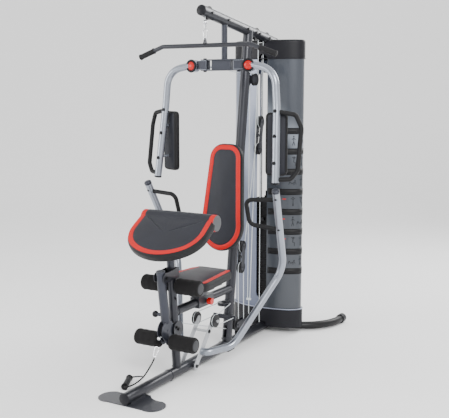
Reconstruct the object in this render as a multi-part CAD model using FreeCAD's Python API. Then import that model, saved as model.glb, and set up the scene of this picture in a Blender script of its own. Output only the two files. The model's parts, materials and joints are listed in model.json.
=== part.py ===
"""Multi station home gym: a leaning upright with a top beam, a weight tower, a lat bar, butterfly arms,
press arms, a seat, a preacher pad and a leg lever, all driven by steel cables over pulleys.

Millimetres. +Z is up, the user faces -Y, X = 0 is the symmetry plane, and the origin is on the floor under
the foot of the main upright. Each node is written to parts/NODE.step.
"""
import FreeCAD, Part
import math
import os

V = FreeCAD.Vector
SIDES = {"left": -1, "right": 1}

# ---- driving dimensions -------------------------------------------------------------------------------------
overall_height = 2050.0      # floor to the top of the top beam's front end
lean = 7.97                  # backward lean of the main upright, degrees
frame_r = 30.0               # radius of the base beam, the upright and the top beam
frame_wall = 2.5
beam_z = 35.0                # height of the base beam's axis
base_front = -1040.0         # front end of the base beam
top_reach_front = 550.0      # top beam, from the upright's axis to the front end
top_reach_back = 361.0       # top beam, from the upright's axis to the rear end
post_foot_y = -561.0         # front post at its foot
post_top = V(0, -609, 632)   # front post's top end
post_r = 24.0
post_wall = 2.2
seat_beam_z = 380.0
seat_beam_r = 25.0
seat_top_z = 548.0
seat_front = -545.0
seat_back = -135.0
seat_half_front = 165.0
seat_half_back = 130.0
seat_thick = 58.0
tower_y = 556.0              # centre of the tower's oval
tower_half_x = 242.0
tower_half_y = 100.0
tower_ring_z = 160.0
tower_top_z = 1780.0
cap_top_z = 1900.0
shell_wall = 3.0
slot_half = 37.0             # half the width of the tower's front slot
plate_count = 13             # weight plates in the stack
lifted_count = 3             # plates above the selector pin
plate_pitch = 48.0
plate_thick = 46.0
plate_half_x = 145.0
plate_half_y = 45.0
rod_x = 45.0                 # guide rods, off the centre
rod_r = 9.5
stack_z = 246.0              # underside of the lowest plate
sheave_r = 38.0
sheave_pitch = 34.0          # radius of the cable's centre line round a sheave
sheave_thick = 20.0
cable_r = 2.5
axle_r = 5.0
pin_r = 6.0
run_fit = 0.05               # radial running clearance of a pin in its hole
gap = 0.5                    # clearance between faces that pass each other
arm_r = 21.0                 # silver arm tubes
press_pivot = V(0, -436, 34)
press_top_axle = V(0, -250, 254)
press_arm_seat = V(0, -377, 105)
press_knee = V(90, -377, 105)
press_elbow = V(181, -247, 120)
press_shoulder = V(370, 25, 548)
press_head = V(430, -210, 1035)
link_half_x = 48.0           # middle of each link plate
link_thick = 6.0
fly_pivot = V(113, -60, 1729)
fly_gap = 55.0               # between the two plates of the butterfly bracket
fly_hub = V(189, -85, 1725)
fly_elbow = V(356, -84, 1698)
fly_shoulder = V(372, -90, 1500)
fly_end = V(397, -148, 1066)
fly_pad_turn = 22.4          # how far each butterfly pad is turned from square, degrees
lat_y = -245.0
lat_z = 1831.0
lat_half = 440.0
lat_bend_x = 286.0
lat_drop_z = 1775.0
lever_pivot = V(0, -702, 595)
lever_top = V(0, -709, 632)
lever_foot = V(0, -665, 340)
lever_r = 25.0
shin_axle = V(0, -663, 237)
thigh_z = 533.0
roller_axle_r = 12.0
foam_r = 44.0
foam_inner_x = 36.0
thigh_half = 184.0
shin_half = 190.0
pad_slope = 33.5             # slope of the preacher pad, degrees
pad_thick = 60.0
pad_rear = V(0, -540, 918)   # top rear edge of the preacher pad
roll_r = 46.0
back_pad_thick = 55.0
back_pad_off = 187.0         # front face of the back pad, ahead of the upright's axis
stabiliser_r = 25.0
stabiliser_z = 30.0
stabiliser_half = 390.0
stabiliser_end = 925.0

# ---- places that follow from them ---------------------------------------------------------------------------
tilt = math.radians(lean)
UP = V(0, math.sin(tilt), math.cos(tilt))       # along the upright
BACK = V(0, math.cos(tilt), -math.sin(tilt))    # along the top beam, towards the tower
X = V(1, 0, 0)
foot = V(0, 0, beam_z + 25)
top_front_z = overall_height - frame_r * math.cos(tilt)
crown_len = (top_front_z - top_reach_front * math.sin(tilt) - foot.z) / math.cos(tilt)
crown = foot + UP * crown_len                   # where upright and top beam cross
POST = post_top - V(0, post_foot_y, foot.z)
POST.normalize()
post_foot = V(0, post_foot_y, foot.z)


def on_upright(z):
    """Point of the upright's axis at height z."""
    return foot + UP * ((z - foot.z) / UP.z)


def on_top_beam(y):
    """Point of the top beam's axis at depth y."""
    return crown + BACK * ((y - crown.y) / BACK.y)


def on_post(z):
    """Point of the front post's axis at height z."""
    return post_foot + POST * ((z - post_foot.z) / POST.z)


front_sheave = on_top_beam(lat_y + sheave_pitch)
rear_sheave_a = on_top_beam(362)
float_b_top = V(0, rear_sheave_a.y + 2 * sheave_pitch, 1385)
rear_sheave_b = on_top_beam(float_b_top.y + 2 * sheave_pitch)
stack_y = rear_sheave_b.y + sheave_pitch
float_b_low = V(0, 398, 1215)
float_a_top = V(0, 190, 615)
float_a_low = V(0, 178, 485)
base_sheave_a = V(0, 114, 130)
base_sheave_b = V(0, 250, 130)
lever_sheave = V(0, -668, 298)
post_sheave = on_post(285)
fly_sheave = V(26, 300, 1650)
seat_bottom_z = seat_top_z - seat_thick
stack_top = stack_z + plate_count * plate_pitch
pin_z = stack_top - (lifted_count - 0.5) * plate_pitch
stem_top = stack_top + 62
lat_run_top = front_sheave.z - 12
stack_run_top = rear_sheave_b.z - 12


# ---- helpers ------------------------------------------------------------------------------------------------
def rod(p, q, r):
    """Solid cylinder from p to q."""
    return Part.makeCylinder(r, (q - p).Length, p, q - p)


def tube(p, q, r, wall):
    """Open tube from p to q."""
    return rod(p, q, r).cut(rod(p, q, r - wall))


def block(x0, x1, y0, y1, z0, z1):
    """Box between two corners."""
    return Part.makeBox(x1 - x0, y1 - y0, z1 - z0, V(x0, y0, z0))


def join(shapes):
    """One clean solid out of touching shapes."""
    return shapes[0].fuse(shapes[1:]).removeSplitter()


def group(shapes):
    """Separate solids in one node."""
    return Part.Compound([s for shape in shapes for s in shape.Solids])


def mirrored(shape):
    """The same shape on the other side of the symmetry plane."""
    return shape.mirror(V(0, 0, 0), X)


def rounded(points, radii):
    """Straight runs through the points, joined by tangent arcs of the given radii."""
    edges = []
    last = points[0]
    for corner, r, following in zip(points[1:-1], radii, points[2:]):
        a = (last - corner).normalize()
        b = (following - corner).normalize()
        half = a.getAngle(b) / 2
        reach = r / math.tan(half)
        start = corner + a * reach
        end = corner + b * reach
        axis = (a + b).normalize()
        middle = corner + axis * (r / math.sin(half) - r)
        edges.append(Part.LineSegment(last, start).toShape())
        edges.append(Part.Arc(start, middle, end).toShape())
        last = end
    edges.append(Part.LineSegment(last, points[-1]).toShape())
    return Part.Wire(edges)


def sweep(path, r):
    """Round bar of radius r along a wire."""
    first = path.OrderedEdges[0]
    start = first.valueAt(first.FirstParameter)
    along = first.tangentAt(first.FirstParameter)
    face = Part.Face(Part.Wire(Part.Circle(start, along, r).toShape()))
    return path.makePipe(face)


def bent_tube(points, radii, r, wall):
    """Hollow tube along rounded(points, radii)."""
    path = rounded(points, radii)
    return sweep(path, r).cut(sweep(path, r - wall))


def belt(stops):
    """Cable path in the plane X = const: stops are points or (centre, side), side +1 passing left of it."""
    x = stops[0].x
    rounds = [(s, 0.0) if isinstance(s, FreeCAD.Vector) else (s[0], s[1] * sheave_pitch) for s in stops]
    edges = []
    arrive = None
    for (c1, r1), (c2, r2) in zip(rounds, rounds[1:]):
        dy, dz = c2.y - c1.y, c2.z - c1.z
        span = math.hypot(dy, dz)
        k = (r1 - r2) / span
        h = math.sqrt(1 - k * k)
        ny = (k * dy - h * dz) / span
        nz = (k * dz + h * dy) / span
        leave = V(x, c1.y + r1 * ny, c1.z + r1 * nz)
        if arrive is not None:
            bulge = (arrive - V(x, c1.y, c1.z)) + (leave - V(x, c1.y, c1.z))
            travel = V(0, nz, -ny)
            if bulge.Length < 1e-6 or bulge.dot(last_travel - travel) < 0:
                bulge = last_travel - travel
            bulge.normalize()
            edges.append(Part.Arc(arrive, V(x, c1.y, c1.z) + bulge * abs(r1), leave).toShape())
        arrive = V(x, c2.y + r2 * ny, c2.z + r2 * nz)
        edges.append(Part.LineSegment(leave, arrive).toShape())
        last_travel = V(0, nz, -ny)
    return Part.Wire(edges)


def cable(path):
    """Steel cable along a path; prints how its volume compares with section times length."""
    solid = sweep(path, cable_r)
    ratio = solid.Volume / (math.pi * cable_r ** 2 * path.Length)
    print("cable length %.0f mm, volume ratio %.4f" % (path.Length, ratio))
    return solid


def sheave(centre, r=sheave_r, thick=sheave_thick, bore=axle_r):
    """Grooved pulley on an axle along X."""
    t, g = thick / 2, cable_r + 1
    rim = r - (sheave_r - sheave_pitch) - cable_r - gap
    outline = [(bore + run_fit, -t), (r, -t), (r, -g - 2.5), (rim, -2.2), (rim, 2.2), (r, g + 2.5), (r, t)]
    outline.append((bore + run_fit, t))
    points = [V(x, 0, y) for y, x in outline]
    face = Part.Face(Part.makePolygon(points + points[:1]))
    wheel = face.revolve(V(0, 0, 0), X, 360)
    wheel.translate(centre)
    return wheel


def strap_plate(p, q, r, x0, x1):
    """Flat plate in the YZ plane with round ends of radius r at p and q, between x0 and x1."""
    along = (q - p).normalize()
    side = V(0, -along.z, along.y) * r
    a, b, c, d = p + side, q + side, q - side, p - side
    edges = [Part.LineSegment(a, b).toShape(), Part.Arc(b, q + along * r, c).toShape()]
    edges += [Part.LineSegment(c, d).toShape(), Part.Arc(d, p - along * r, a).toShape()]
    plate = Part.Face(Part.Wire(edges)).extrude(V(x1 - x0, 0, 0))
    plate.translate(V(x0 - p.x, 0, 0))
    return plate


def pin_with_heads(p, q, r=pin_r, head=10.0, head_thick=7.0):
    """Bolt shank from p to q with a hex head or nut on each end."""
    along = (q - p).normalize()
    shank = rod(p, q, r)
    corners = []
    across = along.cross(V(0, 0.6, 0.8) if abs(along.x) > 0.5 else X).normalize()
    other = along.cross(across)
    for k in range(7):
        turn = math.radians(60 * k)
        corners.append(across * (head * math.cos(turn)) + other * (head * math.sin(turn)))
    heads = []
    for place, way in ((p, along * -head_thick), (q, along * head_thick)):
        ring = Part.makePolygon([place + c for c in corners])
        heads.append(Part.Face(ring).extrude(way))
    return join([shank] + heads)


def oval(half_x, half_y, z0, z1, centre_y=tower_y):
    """Upright elliptical block."""
    curve = Part.Ellipse(V(0, centre_y, z0), half_x, half_y).toShape()
    return Part.Face(Part.Wire(curve)).extrude(V(0, 0, z1 - z0))


def outline_solid(curves, way):
    """Solid from a closed outline of points: two points are a line, three points an arc."""
    edges = [Part.LineSegment(*c).toShape() if len(c) == 2 else Part.Arc(*c).toShape() for c in curves]
    return Part.Face(Part.Wire(edges)).extrude(way)


def softened(shape, r):
    """Cushion with every edge rounded."""
    return shape.makeFillet(r, shape.Edges)


nodes = {}

# ---- base ---------------------------------------------------------------------------------------------------
stabiliser_y = tower_y + 26
stabiliser_points = [
    V(-stabiliser_half, stabiliser_end, stabiliser_z),
    V(-stabiliser_half, stabiliser_y, stabiliser_z),
    V(stabiliser_half, stabiliser_y, stabiliser_z),
    V(stabiliser_half, stabiliser_end, stabiliser_z),
]
bow = stabiliser_end - stabiliser_y - 44
stabiliser_path = rounded(stabiliser_points, [bow, bow])
nodes["rear_stabiliser"] = bent_tube(stabiliser_points, [bow, bow], stabiliser_r, frame_wall)

beam_start = V(0, base_front, beam_z)
beam_end = V(0, stabiliser_y, beam_z)
beam_solid = rod(beam_start, beam_end, frame_r)
bush = rod(press_pivot - X * (link_half_x - link_thick / 2 - gap),
           press_pivot + X * (link_half_x - link_thick / 2 - gap), 12)
base_beam = tube(beam_start, beam_end, frame_r, frame_wall)
base_beam = base_beam.cut(rod(V(-90, stabiliser_y, stabiliser_z), V(90, stabiliser_y, stabiliser_z), stabiliser_r))
base_beam = join([base_beam, bush])
nodes["base_beam"] = base_beam.cut(rod(press_pivot - X * 90, press_pivot + X * 90, pin_r + run_fit))

foot_front, foot_back = base_front - 8, base_front + 170
wing = outline_solid([
    (V(0, foot_front, 0), V(110, foot_front, 0)),
    (V(110, foot_front, 0), V(178, foot_front + 16, 0), V(195, foot_front + 62, 0)),
    (V(195, foot_front + 62, 0), V(181, foot_front + 112, 0), V(140, foot_front + 137, 0)),
    (V(140, foot_front + 137, 0), V(82, foot_front + 142, 0), V(42, foot_back, 0)),
    (V(42, foot_back, 0), V(0, foot_back, 0)),
    (V(0, foot_back, 0), V(0, foot_front, 0)),
], V(0, 0, beam_z - frame_r))
saddle = block(-22, 22, foot_front + 30, foot_back - 20, beam_z - frame_r, beam_z - 20).cut(beam_solid)
nodes["front_foot"] = join([wing, mirrored(wing), saddle])

# ---- front post with the leg bracket, thigh axle and low pulley cheeks ---------------------------------------
post_solid = rod(post_foot - POST * 30, post_top, post_r)
post = tube(post_foot - POST * 30, post_top, post_r, post_wall).cut(beam_solid)
post = post.cut(block(-13, 13, post_sheave.y - 45, post_sheave.y + 45, post_sheave.z - 50, post_sheave.z + 50))
cheek_r = sheave_r + 8
cheeks = []
for side in (-1, 1):
    disc = rod(post_sheave + X * side * (post_r - 1), post_sheave + X * side * (post_r + 3), cheek_r)
    cheeks.append(disc)
plate_x = lever_r + 3.5
web_y = on_post(lever_pivot.z + 10).y + post_r
bracket = [block(-plate_x - 4, plate_x + 4, web_y - 3, web_y + 3, lever_pivot.z - 20, lever_pivot.z + 38)]
for side in (-1, 1):
    x0 = min(side * plate_x, side * (plate_x + 4))
    ear = strap_plate(V(0, web_y - 26, lever_pivot.z + 9), lever_pivot, 27, x0, x0 + 4)
    back = block(x0, x0 + 4, web_y - 26, web_y, lever_pivot.z - 18, lever_pivot.z + 36)
    bracket.append(join([ear, back]).cut(rod(lever_pivot - X * 60, lever_pivot + X * 60, pin_r)))
bracket = join(bracket).cut(rod(post_foot, post_top + POST * 20, post_r - 1))
thigh_axle = on_post(thigh_z)
axle = rod(thigh_axle - X * (thigh_half - 4), thigh_axle + X * (thigh_half - 4), roller_axle_r)
front_post = join([post, bracket, axle] + cheeks)
nodes["front_post"] = front_post.cut(rod(post_sheave - X * 60, post_sheave + X * 60, axle_r))

# ---- upright, seat beam and top beam -------------------------------------------------------------------------
upright_solid = rod(foot - UP * 40, crown, frame_r)
top_a = crown - BACK * top_reach_front
top_b = crown + BACK * top_reach_back
top_solid = rod(top_a, top_b, frame_r)
upright = tube(foot - UP * 40, crown, frame_r, frame_wall).cut(beam_solid).cut(top_solid)
cable_window = block(-9, 9, -90, 90, base_sheave_a.z - sheave_pitch - 12, base_sheave_a.z - sheave_pitch + 62)
collar = rod(foot + UP * 6, foot + UP * 12, frame_r + 5).cut(upright_solid)
nodes["main_upright"] = join([upright.cut(cable_window), collar.cut(beam_solid)])

seat_a, seat_b = V(0, on_post(seat_beam_z).y, seat_beam_z), on_upright(seat_beam_z)
seat_beam_solid = rod(seat_a, V(0, seat_b.y, seat_beam_z), seat_beam_r)
seat_beam = seat_beam_solid.cut(rod(seat_a, V(0, seat_b.y, seat_beam_z), seat_beam_r - frame_wall))
nodes["seat_beam"] = seat_beam.cut(post_solid).cut(upright_solid)

top_beam = tube(top_a, top_b, frame_r, frame_wall)
sheave_room = sheave_r + 6
slots = [(front_sheave.y - sheave_room, front_sheave.y + sheave_room),
         (rear_sheave_a.y - sheave_room, rear_sheave_b.y + sheave_room)]
for y0, y1 in slots:
    top_beam = top_beam.cut(block(-13, 13, y0, y1, cap_top_z - 80, overall_height + 40))
nodes["top_beam"] = top_beam

# ---- plastic end caps and the floor pad -----------------------------------------------------------------------
def dome(centre, way, r, depth):
    """Shallow domed cap, flat side on centre."""
    ball_r = (r * r + depth * depth) / (2 * depth)
    ball = Part.makeSphere(ball_r, centre + way * (depth - ball_r))
    return ball.common(rod(centre, centre + way * (depth + 1), r))


caps = [
    join([rod(beam_start - V(0, 6, 0), beam_start, frame_r), dome(beam_start - V(0, 6, 0), V(0, -1, 0), frame_r, 8)]),
    join([rod(top_a - BACK * 6, top_a, frame_r), dome(top_a - BACK * 6, BACK * -1, frame_r, 8)]),
    rod(top_b, top_b + BACK * 8, frame_r),
]
for side in (-1, 1):
    end = V(side * stabiliser_half, stabiliser_end, stabiliser_z)
    caps.append(rod(end - V(0, 42, 0), end, stabiliser_z).cut(rod(end - V(0, 43, 0), end, stabiliser_r)))
    caps.append(join([rod(end, end + V(0, 5, 0), stabiliser_z), dome(end + V(0, 5, 0), V(0, 1, 0), stabiliser_z, 8)]))
caps.append(block(-35, 35, -35, 35, 0, 16).cut(beam_solid))
nodes["tube_caps"] = group(caps)

# ---- butterfly bracket on its hanger ----------------------------------------------------------------------------
fly_top_z = fly_pivot.z + fly_gap / 2
fly_low_z = fly_pivot.z - fly_gap / 2
hanger_y = -28.0
hanger = tube(V(0, hanger_y, fly_top_z + 5), V(0, hanger_y, on_top_beam(hanger_y).z), 17.5, 2).cut(top_solid)
ear_r = 26.0
fly_plates = []
for z0 in (fly_top_z, fly_low_z - 5):
    deck = block(-fly_pivot.x, fly_pivot.x, fly_pivot.y - ear_r, fly_pivot.y + 44, z0, z0 + 5)
    ends = [rod(V(s * fly_pivot.x, fly_pivot.y, z0), V(s * fly_pivot.x, fly_pivot.y, z0 + 5), ear_r) for s in (-1, 1)]
    fly_plates.append(join([deck] + ends))
fly_box = block(-63, 63, fly_pivot.y - 10, fly_pivot.y + 40, fly_low_z, fly_top_z)
fly_box = fly_box.cut(block(-59, 59, fly_pivot.y - 6, fly_pivot.y + 36, fly_low_z, fly_top_z))
fly_bracket = join(fly_plates + [fly_box, hanger])
for s in (-1, 1):
    fly_bracket = fly_bracket.cut(rod(V(s * fly_pivot.x, fly_pivot.y, 1600), V(s * fly_pivot.x, fly_pivot.y, 1800), pin_r))
nodes["fly_bracket"] = fly_bracket

# ---- brackets on the upright -------------------------------------------------------------------------------------
FORWARD = BACK * -1
pad_back = back_pad_off - back_pad_thick
brackets = []
for z in (790, 1090):
    p = on_upright(z)
    stand = block(-20, 20, -25, 25, 0, pad_back - frame_r + 4)
    stand.rotate(V(0, 0, 0), X, 90 - lean)
    stand.translate(p + FORWARD * (frame_r - 4))
    flange = block(-45, 45, -35, 35, pad_back - frame_r - 4, pad_back - frame_r)
    flange.rotate(V(0, 0, 0), X, 90 - lean)
    flange.translate(p + FORWARD * frame_r)
    brackets.append(join([stand.cut(upright_solid), flange]))
fork_x = fly_sheave.x + sheave_thick / 2 + 2
fly_axle = V(0, fly_sheave.y, fly_sheave.z)
fork = [block(-fork_x - 4, fork_x + 4, on_upright(fly_sheave.z).y + frame_r - 6, 262, fly_sheave.z - 22, fly_sheave.z + 22)]
fork[0] = fork[0].cut(upright_solid)
for s in (-1, 1):
    x0 = min(s * fork_x, s * (fork_x + 4))
    fork.append(strap_plate(V(0, 262, fly_sheave.z), fly_axle, 18, x0, x0 + 4))
fork.append(block(-4, 4, 255, 312, fly_sheave.z - 16, fly_sheave.z + 16))
fork.append(rod(fly_axle - X * (fork_x + 4), fly_axle + X * (fork_x + 4), axle_r))
brackets.append(join(fork))
anchor_z = 216.0
anchor_y = on_upright(anchor_z).y - frame_r - 20
press_x = link_half_x + link_thick / 2 + 2 + sheave_thick / 2
anchor = block(-78, 78, anchor_y - 3, anchor_y + 6, anchor_z - 14, anchor_z + 14)
anchor = join([anchor, block(-20, 20, anchor_y, anchor_y + 40, anchor_z - 12, anchor_z + 12)]).cut(upright_solid)
for s in (-1, 1):
    anchor = anchor.cut(rod(V(s * press_x, anchor_y - 9, anchor_z), V(s * press_x, anchor_y + 9, anchor_z), 5))
brackets.append(anchor)
guide_c = V(0, on_upright(300).y - frame_r - 42, 300)
guide = rod(guide_c - V(0, 0, 9), guide_c - V(0, 0, 5), 38)
guide = join([guide, rod(guide_c + V(0, 0, 5), guide_c + V(0, 0, 9), 38), rod(guide_c - V(0, 0, 8), guide_c + V(0, 0, 8), 30.5)])
shelf = block(-16, 16, guide_c.y, on_upright(300).y, 310, 315).cut(upright_solid)
brackets.append(join([guide, shelf, rod(guide_c + V(0, 0, 8), guide_c + V(0, 0, 18), 8)]))
link_anchor = V(0, float_a_top.y - sheave_pitch, 800)
lug_y = on_upright(link_anchor.z).y + frame_r - 4
brackets.append(block(-8, 8, lug_y, link_anchor.y + 9, link_anchor.z, link_anchor.z + 20).cut(upright_solid))
low_block = []
for s in (-1, 1):
    x0 = min(s * (sheave_thick / 2 + 3), s * (sheave_thick / 2 + 7))
    side_plate = strap_plate(base_sheave_a, base_sheave_b, 20, x0, x0 + 4)
    low_block += [side_plate, block(x0, x0 + 4, 130, 234, beam_z + 20, base_sheave_a.z)]
for centre in (base_sheave_a, base_sheave_b):
    low_block.append(rod(centre - X * (sheave_thick / 2 + 12), centre + X * (sheave_thick / 2 + 12), axle_r))
brackets.append(join(low_block).cut(beam_solid))
nodes["upright_brackets"] = group(brackets)

# ---- back pad -----------------------------------------------------------------------------------------------------
pad_low = on_upright(0) + UP * 615 + FORWARD * pad_back


def pad_point(x, h):
    """Point on the back pad's rear face, h up from its lower edge."""
    return pad_low + X * x + UP * h


back_pad = outline_solid([
    (pad_point(-139, 190), pad_point(-94, 40), pad_point(0, 0)),
    (pad_point(0, 0), pad_point(94, 40), pad_point(139, 190)),
    (pad_point(139, 190), pad_point(112, 548)),
    (pad_point(112, 548), pad_point(76, 628), pad_point(0, 642)),
    (pad_point(0, 642), pad_point(-76, 628), pad_point(-112, 548)),
    (pad_point(-112, 548), pad_point(-139, 190)),
], FORWARD * back_pad_thick)
nodes["back_pad"] = back_pad

# ---- weight tower ------------------------------------------------------------------------------------------------
slot = join([
    block(-slot_half, slot_half, tower_y - tower_half_y - 20, tower_y - 60, 222 + slot_half, 1812 - slot_half),
    rod(V(0, tower_y - tower_half_y - 20, 222 + slot_half), V(0, tower_y - 60, 222 + slot_half), slot_half),
    rod(V(0, tower_y - tower_half_y - 20, 1812 - slot_half), V(0, tower_y - 60, 1812 - slot_half), slot_half),
])
rear_window = block(-130, 130, tower_y + 40, tower_y + tower_half_y + 20, 250, 1700)
rear_window = rear_window.makeFillet(40, [e for e in rear_window.Edges if abs(e.tangentAt(0).y) > 0.9])
outer = oval(tower_half_x, tower_half_y, tower_ring_z, tower_top_z)
inner = oval(tower_half_x - shell_wall, tower_half_y - shell_wall, tower_ring_z, tower_top_z)
shell = outer.cut(inner).cut(slot).cut(rear_window)
nodes["tower_shell_left"] = shell.cut(block(0, 400, 300, 800, 0, 2100))
nodes["tower_shell_right"] = shell.cut(block(-400, 0, 300, 800, 0, 2100))

cap = oval(tower_half_x + 5, tower_half_y + 5, tower_top_z, cap_top_z)
cap = cap.makeFillet(14, [e for e in cap.Edges if e.BoundBox.ZMin > cap_top_z - 1])
cap = cap.cut(oval(tower_half_x + 2, tower_half_y + 2, tower_top_z - 1, cap_top_z - shell_wall)).cut(slot)
cap = cap.cut(rod(top_a, top_b + BACK * 60, frame_r + gap))
cap = cap.cut(block(-frame_r - gap, frame_r + gap, 400, top_b.y + 8, 1880, 2000))
cap = cap.cut(block(-14, 14, 420, rear_sheave_b.y + sheave_room, 1850, 2000))
skirt = oval(tower_half_x + 8, tower_half_y + 8, 38, tower_ring_z)
skirt = skirt.cut(oval(tower_half_x + 5, tower_half_y + 5, 30, tower_ring_z - 6))
skirt = skirt.cut(oval(tower_half_x - 12, tower_half_y - 12, 30, tower_ring_z + 1))
skirt = skirt.cut(block(-frame_r - 1, frame_r + 1, 400, tower_y, 0, beam_z + frame_r + 1))
skirt = skirt.cut(sweep(stabiliser_path, stabiliser_r + 1))
nodes["tower_cap_and_skirt"] = group([cap, skirt])

# ---- weight stack ------------------------------------------------------------------------------------------------
rod_top = on_top_beam(stack_y).z - frame_r - 2
rods = [rod(V(s * rod_x, stack_y, 202), V(s * rod_x, stack_y, rod_top), rod_r) for s in (-1, 1)]
top_plate = block(-rod_x - 20, rod_x + 20, stack_y - 25, stack_y + 18, rod_top, rod_top + 8)
top_plate = top_plate.cut(top_solid).cut(block(-13, 13, stack_y - 30, stack_y + 8, rod_top - 5, rod_top + 20))
floor_plate = block(-plate_half_x, plate_half_x, stack_y - 40, stack_y + 40, 194, 202)
stand = block(-36, 36, stack_y - 30, stack_y + 12, beam_z, 194)
stand = stand.cut(block(-33, 33, stack_y - 27, stack_y + 9, 0, 191)).cut(beam_solid)
bumpers = []
for s in (-1, 1):
    ring = V(s * rod_x, stack_y, 202)
    bumpers.append(rod(ring, ring + V(0, 0, stack_z - 202.5), 18).cut(rod(ring, ring + V(0, 0, 90), rod_r + gap)))
nodes["guide_rods"] = group(rods + [top_plate, join([floor_plate, stand])] + bumpers)


def weight_plate(z0, thick):
    """One plate of the stack, with its guide holes and the stem's hole."""
    plate = block(-plate_half_x, plate_half_x, stack_y - plate_half_y, stack_y + plate_half_y, z0, z0 + thick)
    plate = plate.makeFillet(12, [e for e in plate.Edges if abs(e.tangentAt(0).z) > 0.9])
    for s in (-1, 1):
        hole = V(s * rod_x, stack_y, z0 - 1)
        plate = plate.cut(rod(hole, hole + V(0, 0, thick + 2), rod_r + 1.5))
    return plate


stem_r = 10.0
shaft = rod(V(0, stack_y, stack_z + 20), V(0, stack_y, stem_top), stem_r)
resting, lifted = [], []
for k in range(plate_count):
    z0 = stack_z + k * plate_pitch
    plate = weight_plate(z0, plate_thick)
    bore = stem_r + 3 if k < plate_count - lifted_count else stem_r
    plate = plate.cut(rod(V(0, stack_y, z0 - 1), V(0, stack_y, z0 + plate_thick + 1), bore))
    (resting if k < plate_count - lifted_count else lifted).append(plate)
pin_hole = rod(V(0, stack_y - 60, pin_z - 1), V(0, stack_y + 14, pin_z - 1), 4 + run_fit)
yoke = block(-rod_x - 25, rod_x + 25, stack_y - 22, stack_y + 22, stack_top, stack_top + 16)
for s in (-1, 1):
    yoke = yoke.cut(rod(V(s * rod_x, stack_y, stack_top - 1), V(s * rod_x, stack_y, stack_top + 20), rod_r + 1.5))
yoke = join([yoke.cut(shaft), rod(V(0, stack_y, stack_top + 16), V(0, stack_y, stack_top + 30), 17).cut(shaft)])
nodes["weight_plates"] = group(resting)
nodes["lifted_weights"] = group([p.cut(pin_hole) for p in lifted] + [yoke, shaft.cut(pin_hole)])
pin_face = stack_y - plate_half_y
grip = rod(V(0, pin_face - 22, pin_z - 1), V(0, pin_face - 1, pin_z - 1), 11)
nodes["selector_pin"] = join([grip, rod(V(0, pin_face - 2, pin_z - 1), V(0, stack_y + 12, pin_z - 1), 4)])

# ---- lat bar ------------------------------------------------------------------------------------------------------
lat_points = [V(-lat_half, lat_y, lat_drop_z), V(-lat_bend_x, lat_y, lat_z), V(lat_bend_x, lat_y, lat_z),
              V(lat_half, lat_y, lat_drop_z)]
lat_bar = sweep(rounded(lat_points, [70, 70]), 12.5)
tab = outline_solid([
    (V(-3, lat_y - 20, lat_z + 6), V(-3, lat_y + 20, lat_z + 6)),
    (V(-3, lat_y + 20, lat_z + 6), V(-3, lat_y + 7, lat_z + 36)),
    (V(-3, lat_y + 7, lat_z + 36), V(-3, lat_y, lat_z + 41), V(-3, lat_y - 7, lat_z + 36)),
    (V(-3, lat_y - 7, lat_z + 36), V(-3, lat_y - 20, lat_z + 6)),
], V(6, 0, 0))
tab_eye = lat_z + 29
tab = tab.cut(rod(V(-5, lat_y, tab_eye), V(5, lat_y, tab_eye), 5.5))
nodes["lat_bar"] = join([lat_bar, tab])
slope = (lat_points[0] - lat_points[1]).normalize()
grips = []
for s in (-1, 1):
    way = V(-slope.x * s, 0, slope.z)
    inner_end = V(s * lat_bend_x, lat_y, lat_z) + way * 62
    outer_end = V(s * lat_half, lat_y, lat_drop_z)
    sleeve = rod(inner_end, outer_end, 16).cut(rod(inner_end, outer_end, 12.6))
    grips += [sleeve, rod(outer_end, outer_end + way * 4, 16)]
nodes["lat_grips"] = group(grips)


def carabiner(low, height, half, wire_r):
    """Pear shaped snap link standing in the XZ plane above the point low."""
    top = low + V(0, 0, height)
    pts = [low + V(-half * 0.55, 0, 0), low + V(half * 0.55, 0, 0), top + V(half, 0, 0), top + V(-half, 0, 0)]
    mid = (pts[0] + pts[3]) * 0.5
    ring = rounded([mid, pts[3], pts[2], pts[1], pts[0], mid], [half * 0.8, half * 0.8, half * 0.42, half * 0.42])
    return sweep(ring, wire_r)


clip_low = V(0, lat_y, tab_eye)
clip_top = clip_low + V(0, 0, 64)
swivel = join([rod(clip_top + V(0, 0, 1), clip_top + V(0, 0, 22), 8), Part.makeSphere(13, clip_top + V(0, 0, 34))])
nodes["lat_clip"] = group([carabiner(clip_low, 60, 15, 3), swivel])
lat_cable_low = clip_top.z + 47
nodes["lat_cable"] = rod(V(0, lat_y, lat_cable_low), V(0, lat_y, lat_run_top), cable_r)

# ---- butterfly arms ------------------------------------------------------------------------------------------------
toe = math.radians(10)
HUB = V(math.sin(toe), -math.cos(toe), 0)
ACROSS = V(math.cos(math.radians(fly_pad_turn)), math.sin(math.radians(fly_pad_turn)), 0)
PAD_NORMAL = V(-ACROSS.y, ACROSS.x, 0)
knuckle = block(fly_pivot.x - 22, fly_pivot.x + 42, fly_pivot.y - 24, fly_pivot.y + 22, fly_low_z + 1, fly_top_z - 1)
hub = rod(fly_hub - HUB * 36, fly_hub + HUB * 2, 36)
fly_path = [fly_hub - HUB * 14 + V(0, 0, 6), fly_elbow, fly_shoulder, fly_end]
fly_tube = sweep(rounded(fly_path, [112, 500]), arm_r)
fly_eye = V(fly_pivot.x - 12, fly_pivot.y + 64, fly_pivot.z - 9)
horn = rod(fly_eye - V(0, 50, 0), fly_eye, 6)
fly_arm = join([knuckle, hub, fly_tube, horn, Part.makeSphere(9, fly_eye)])
fly_arm = fly_arm.cut(rod(V(fly_pivot.x, fly_pivot.y, 1600), V(fly_pivot.x, fly_pivot.y, 1800), pin_r + run_fit))


def fly_axis(z):
    """Point of the butterfly arm's straight tube at height z."""
    k = (fly_shoulder.z - z) / (fly_shoulder.z - fly_end.z)
    return fly_shoulder + (fly_end - fly_shoulder) * k


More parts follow.
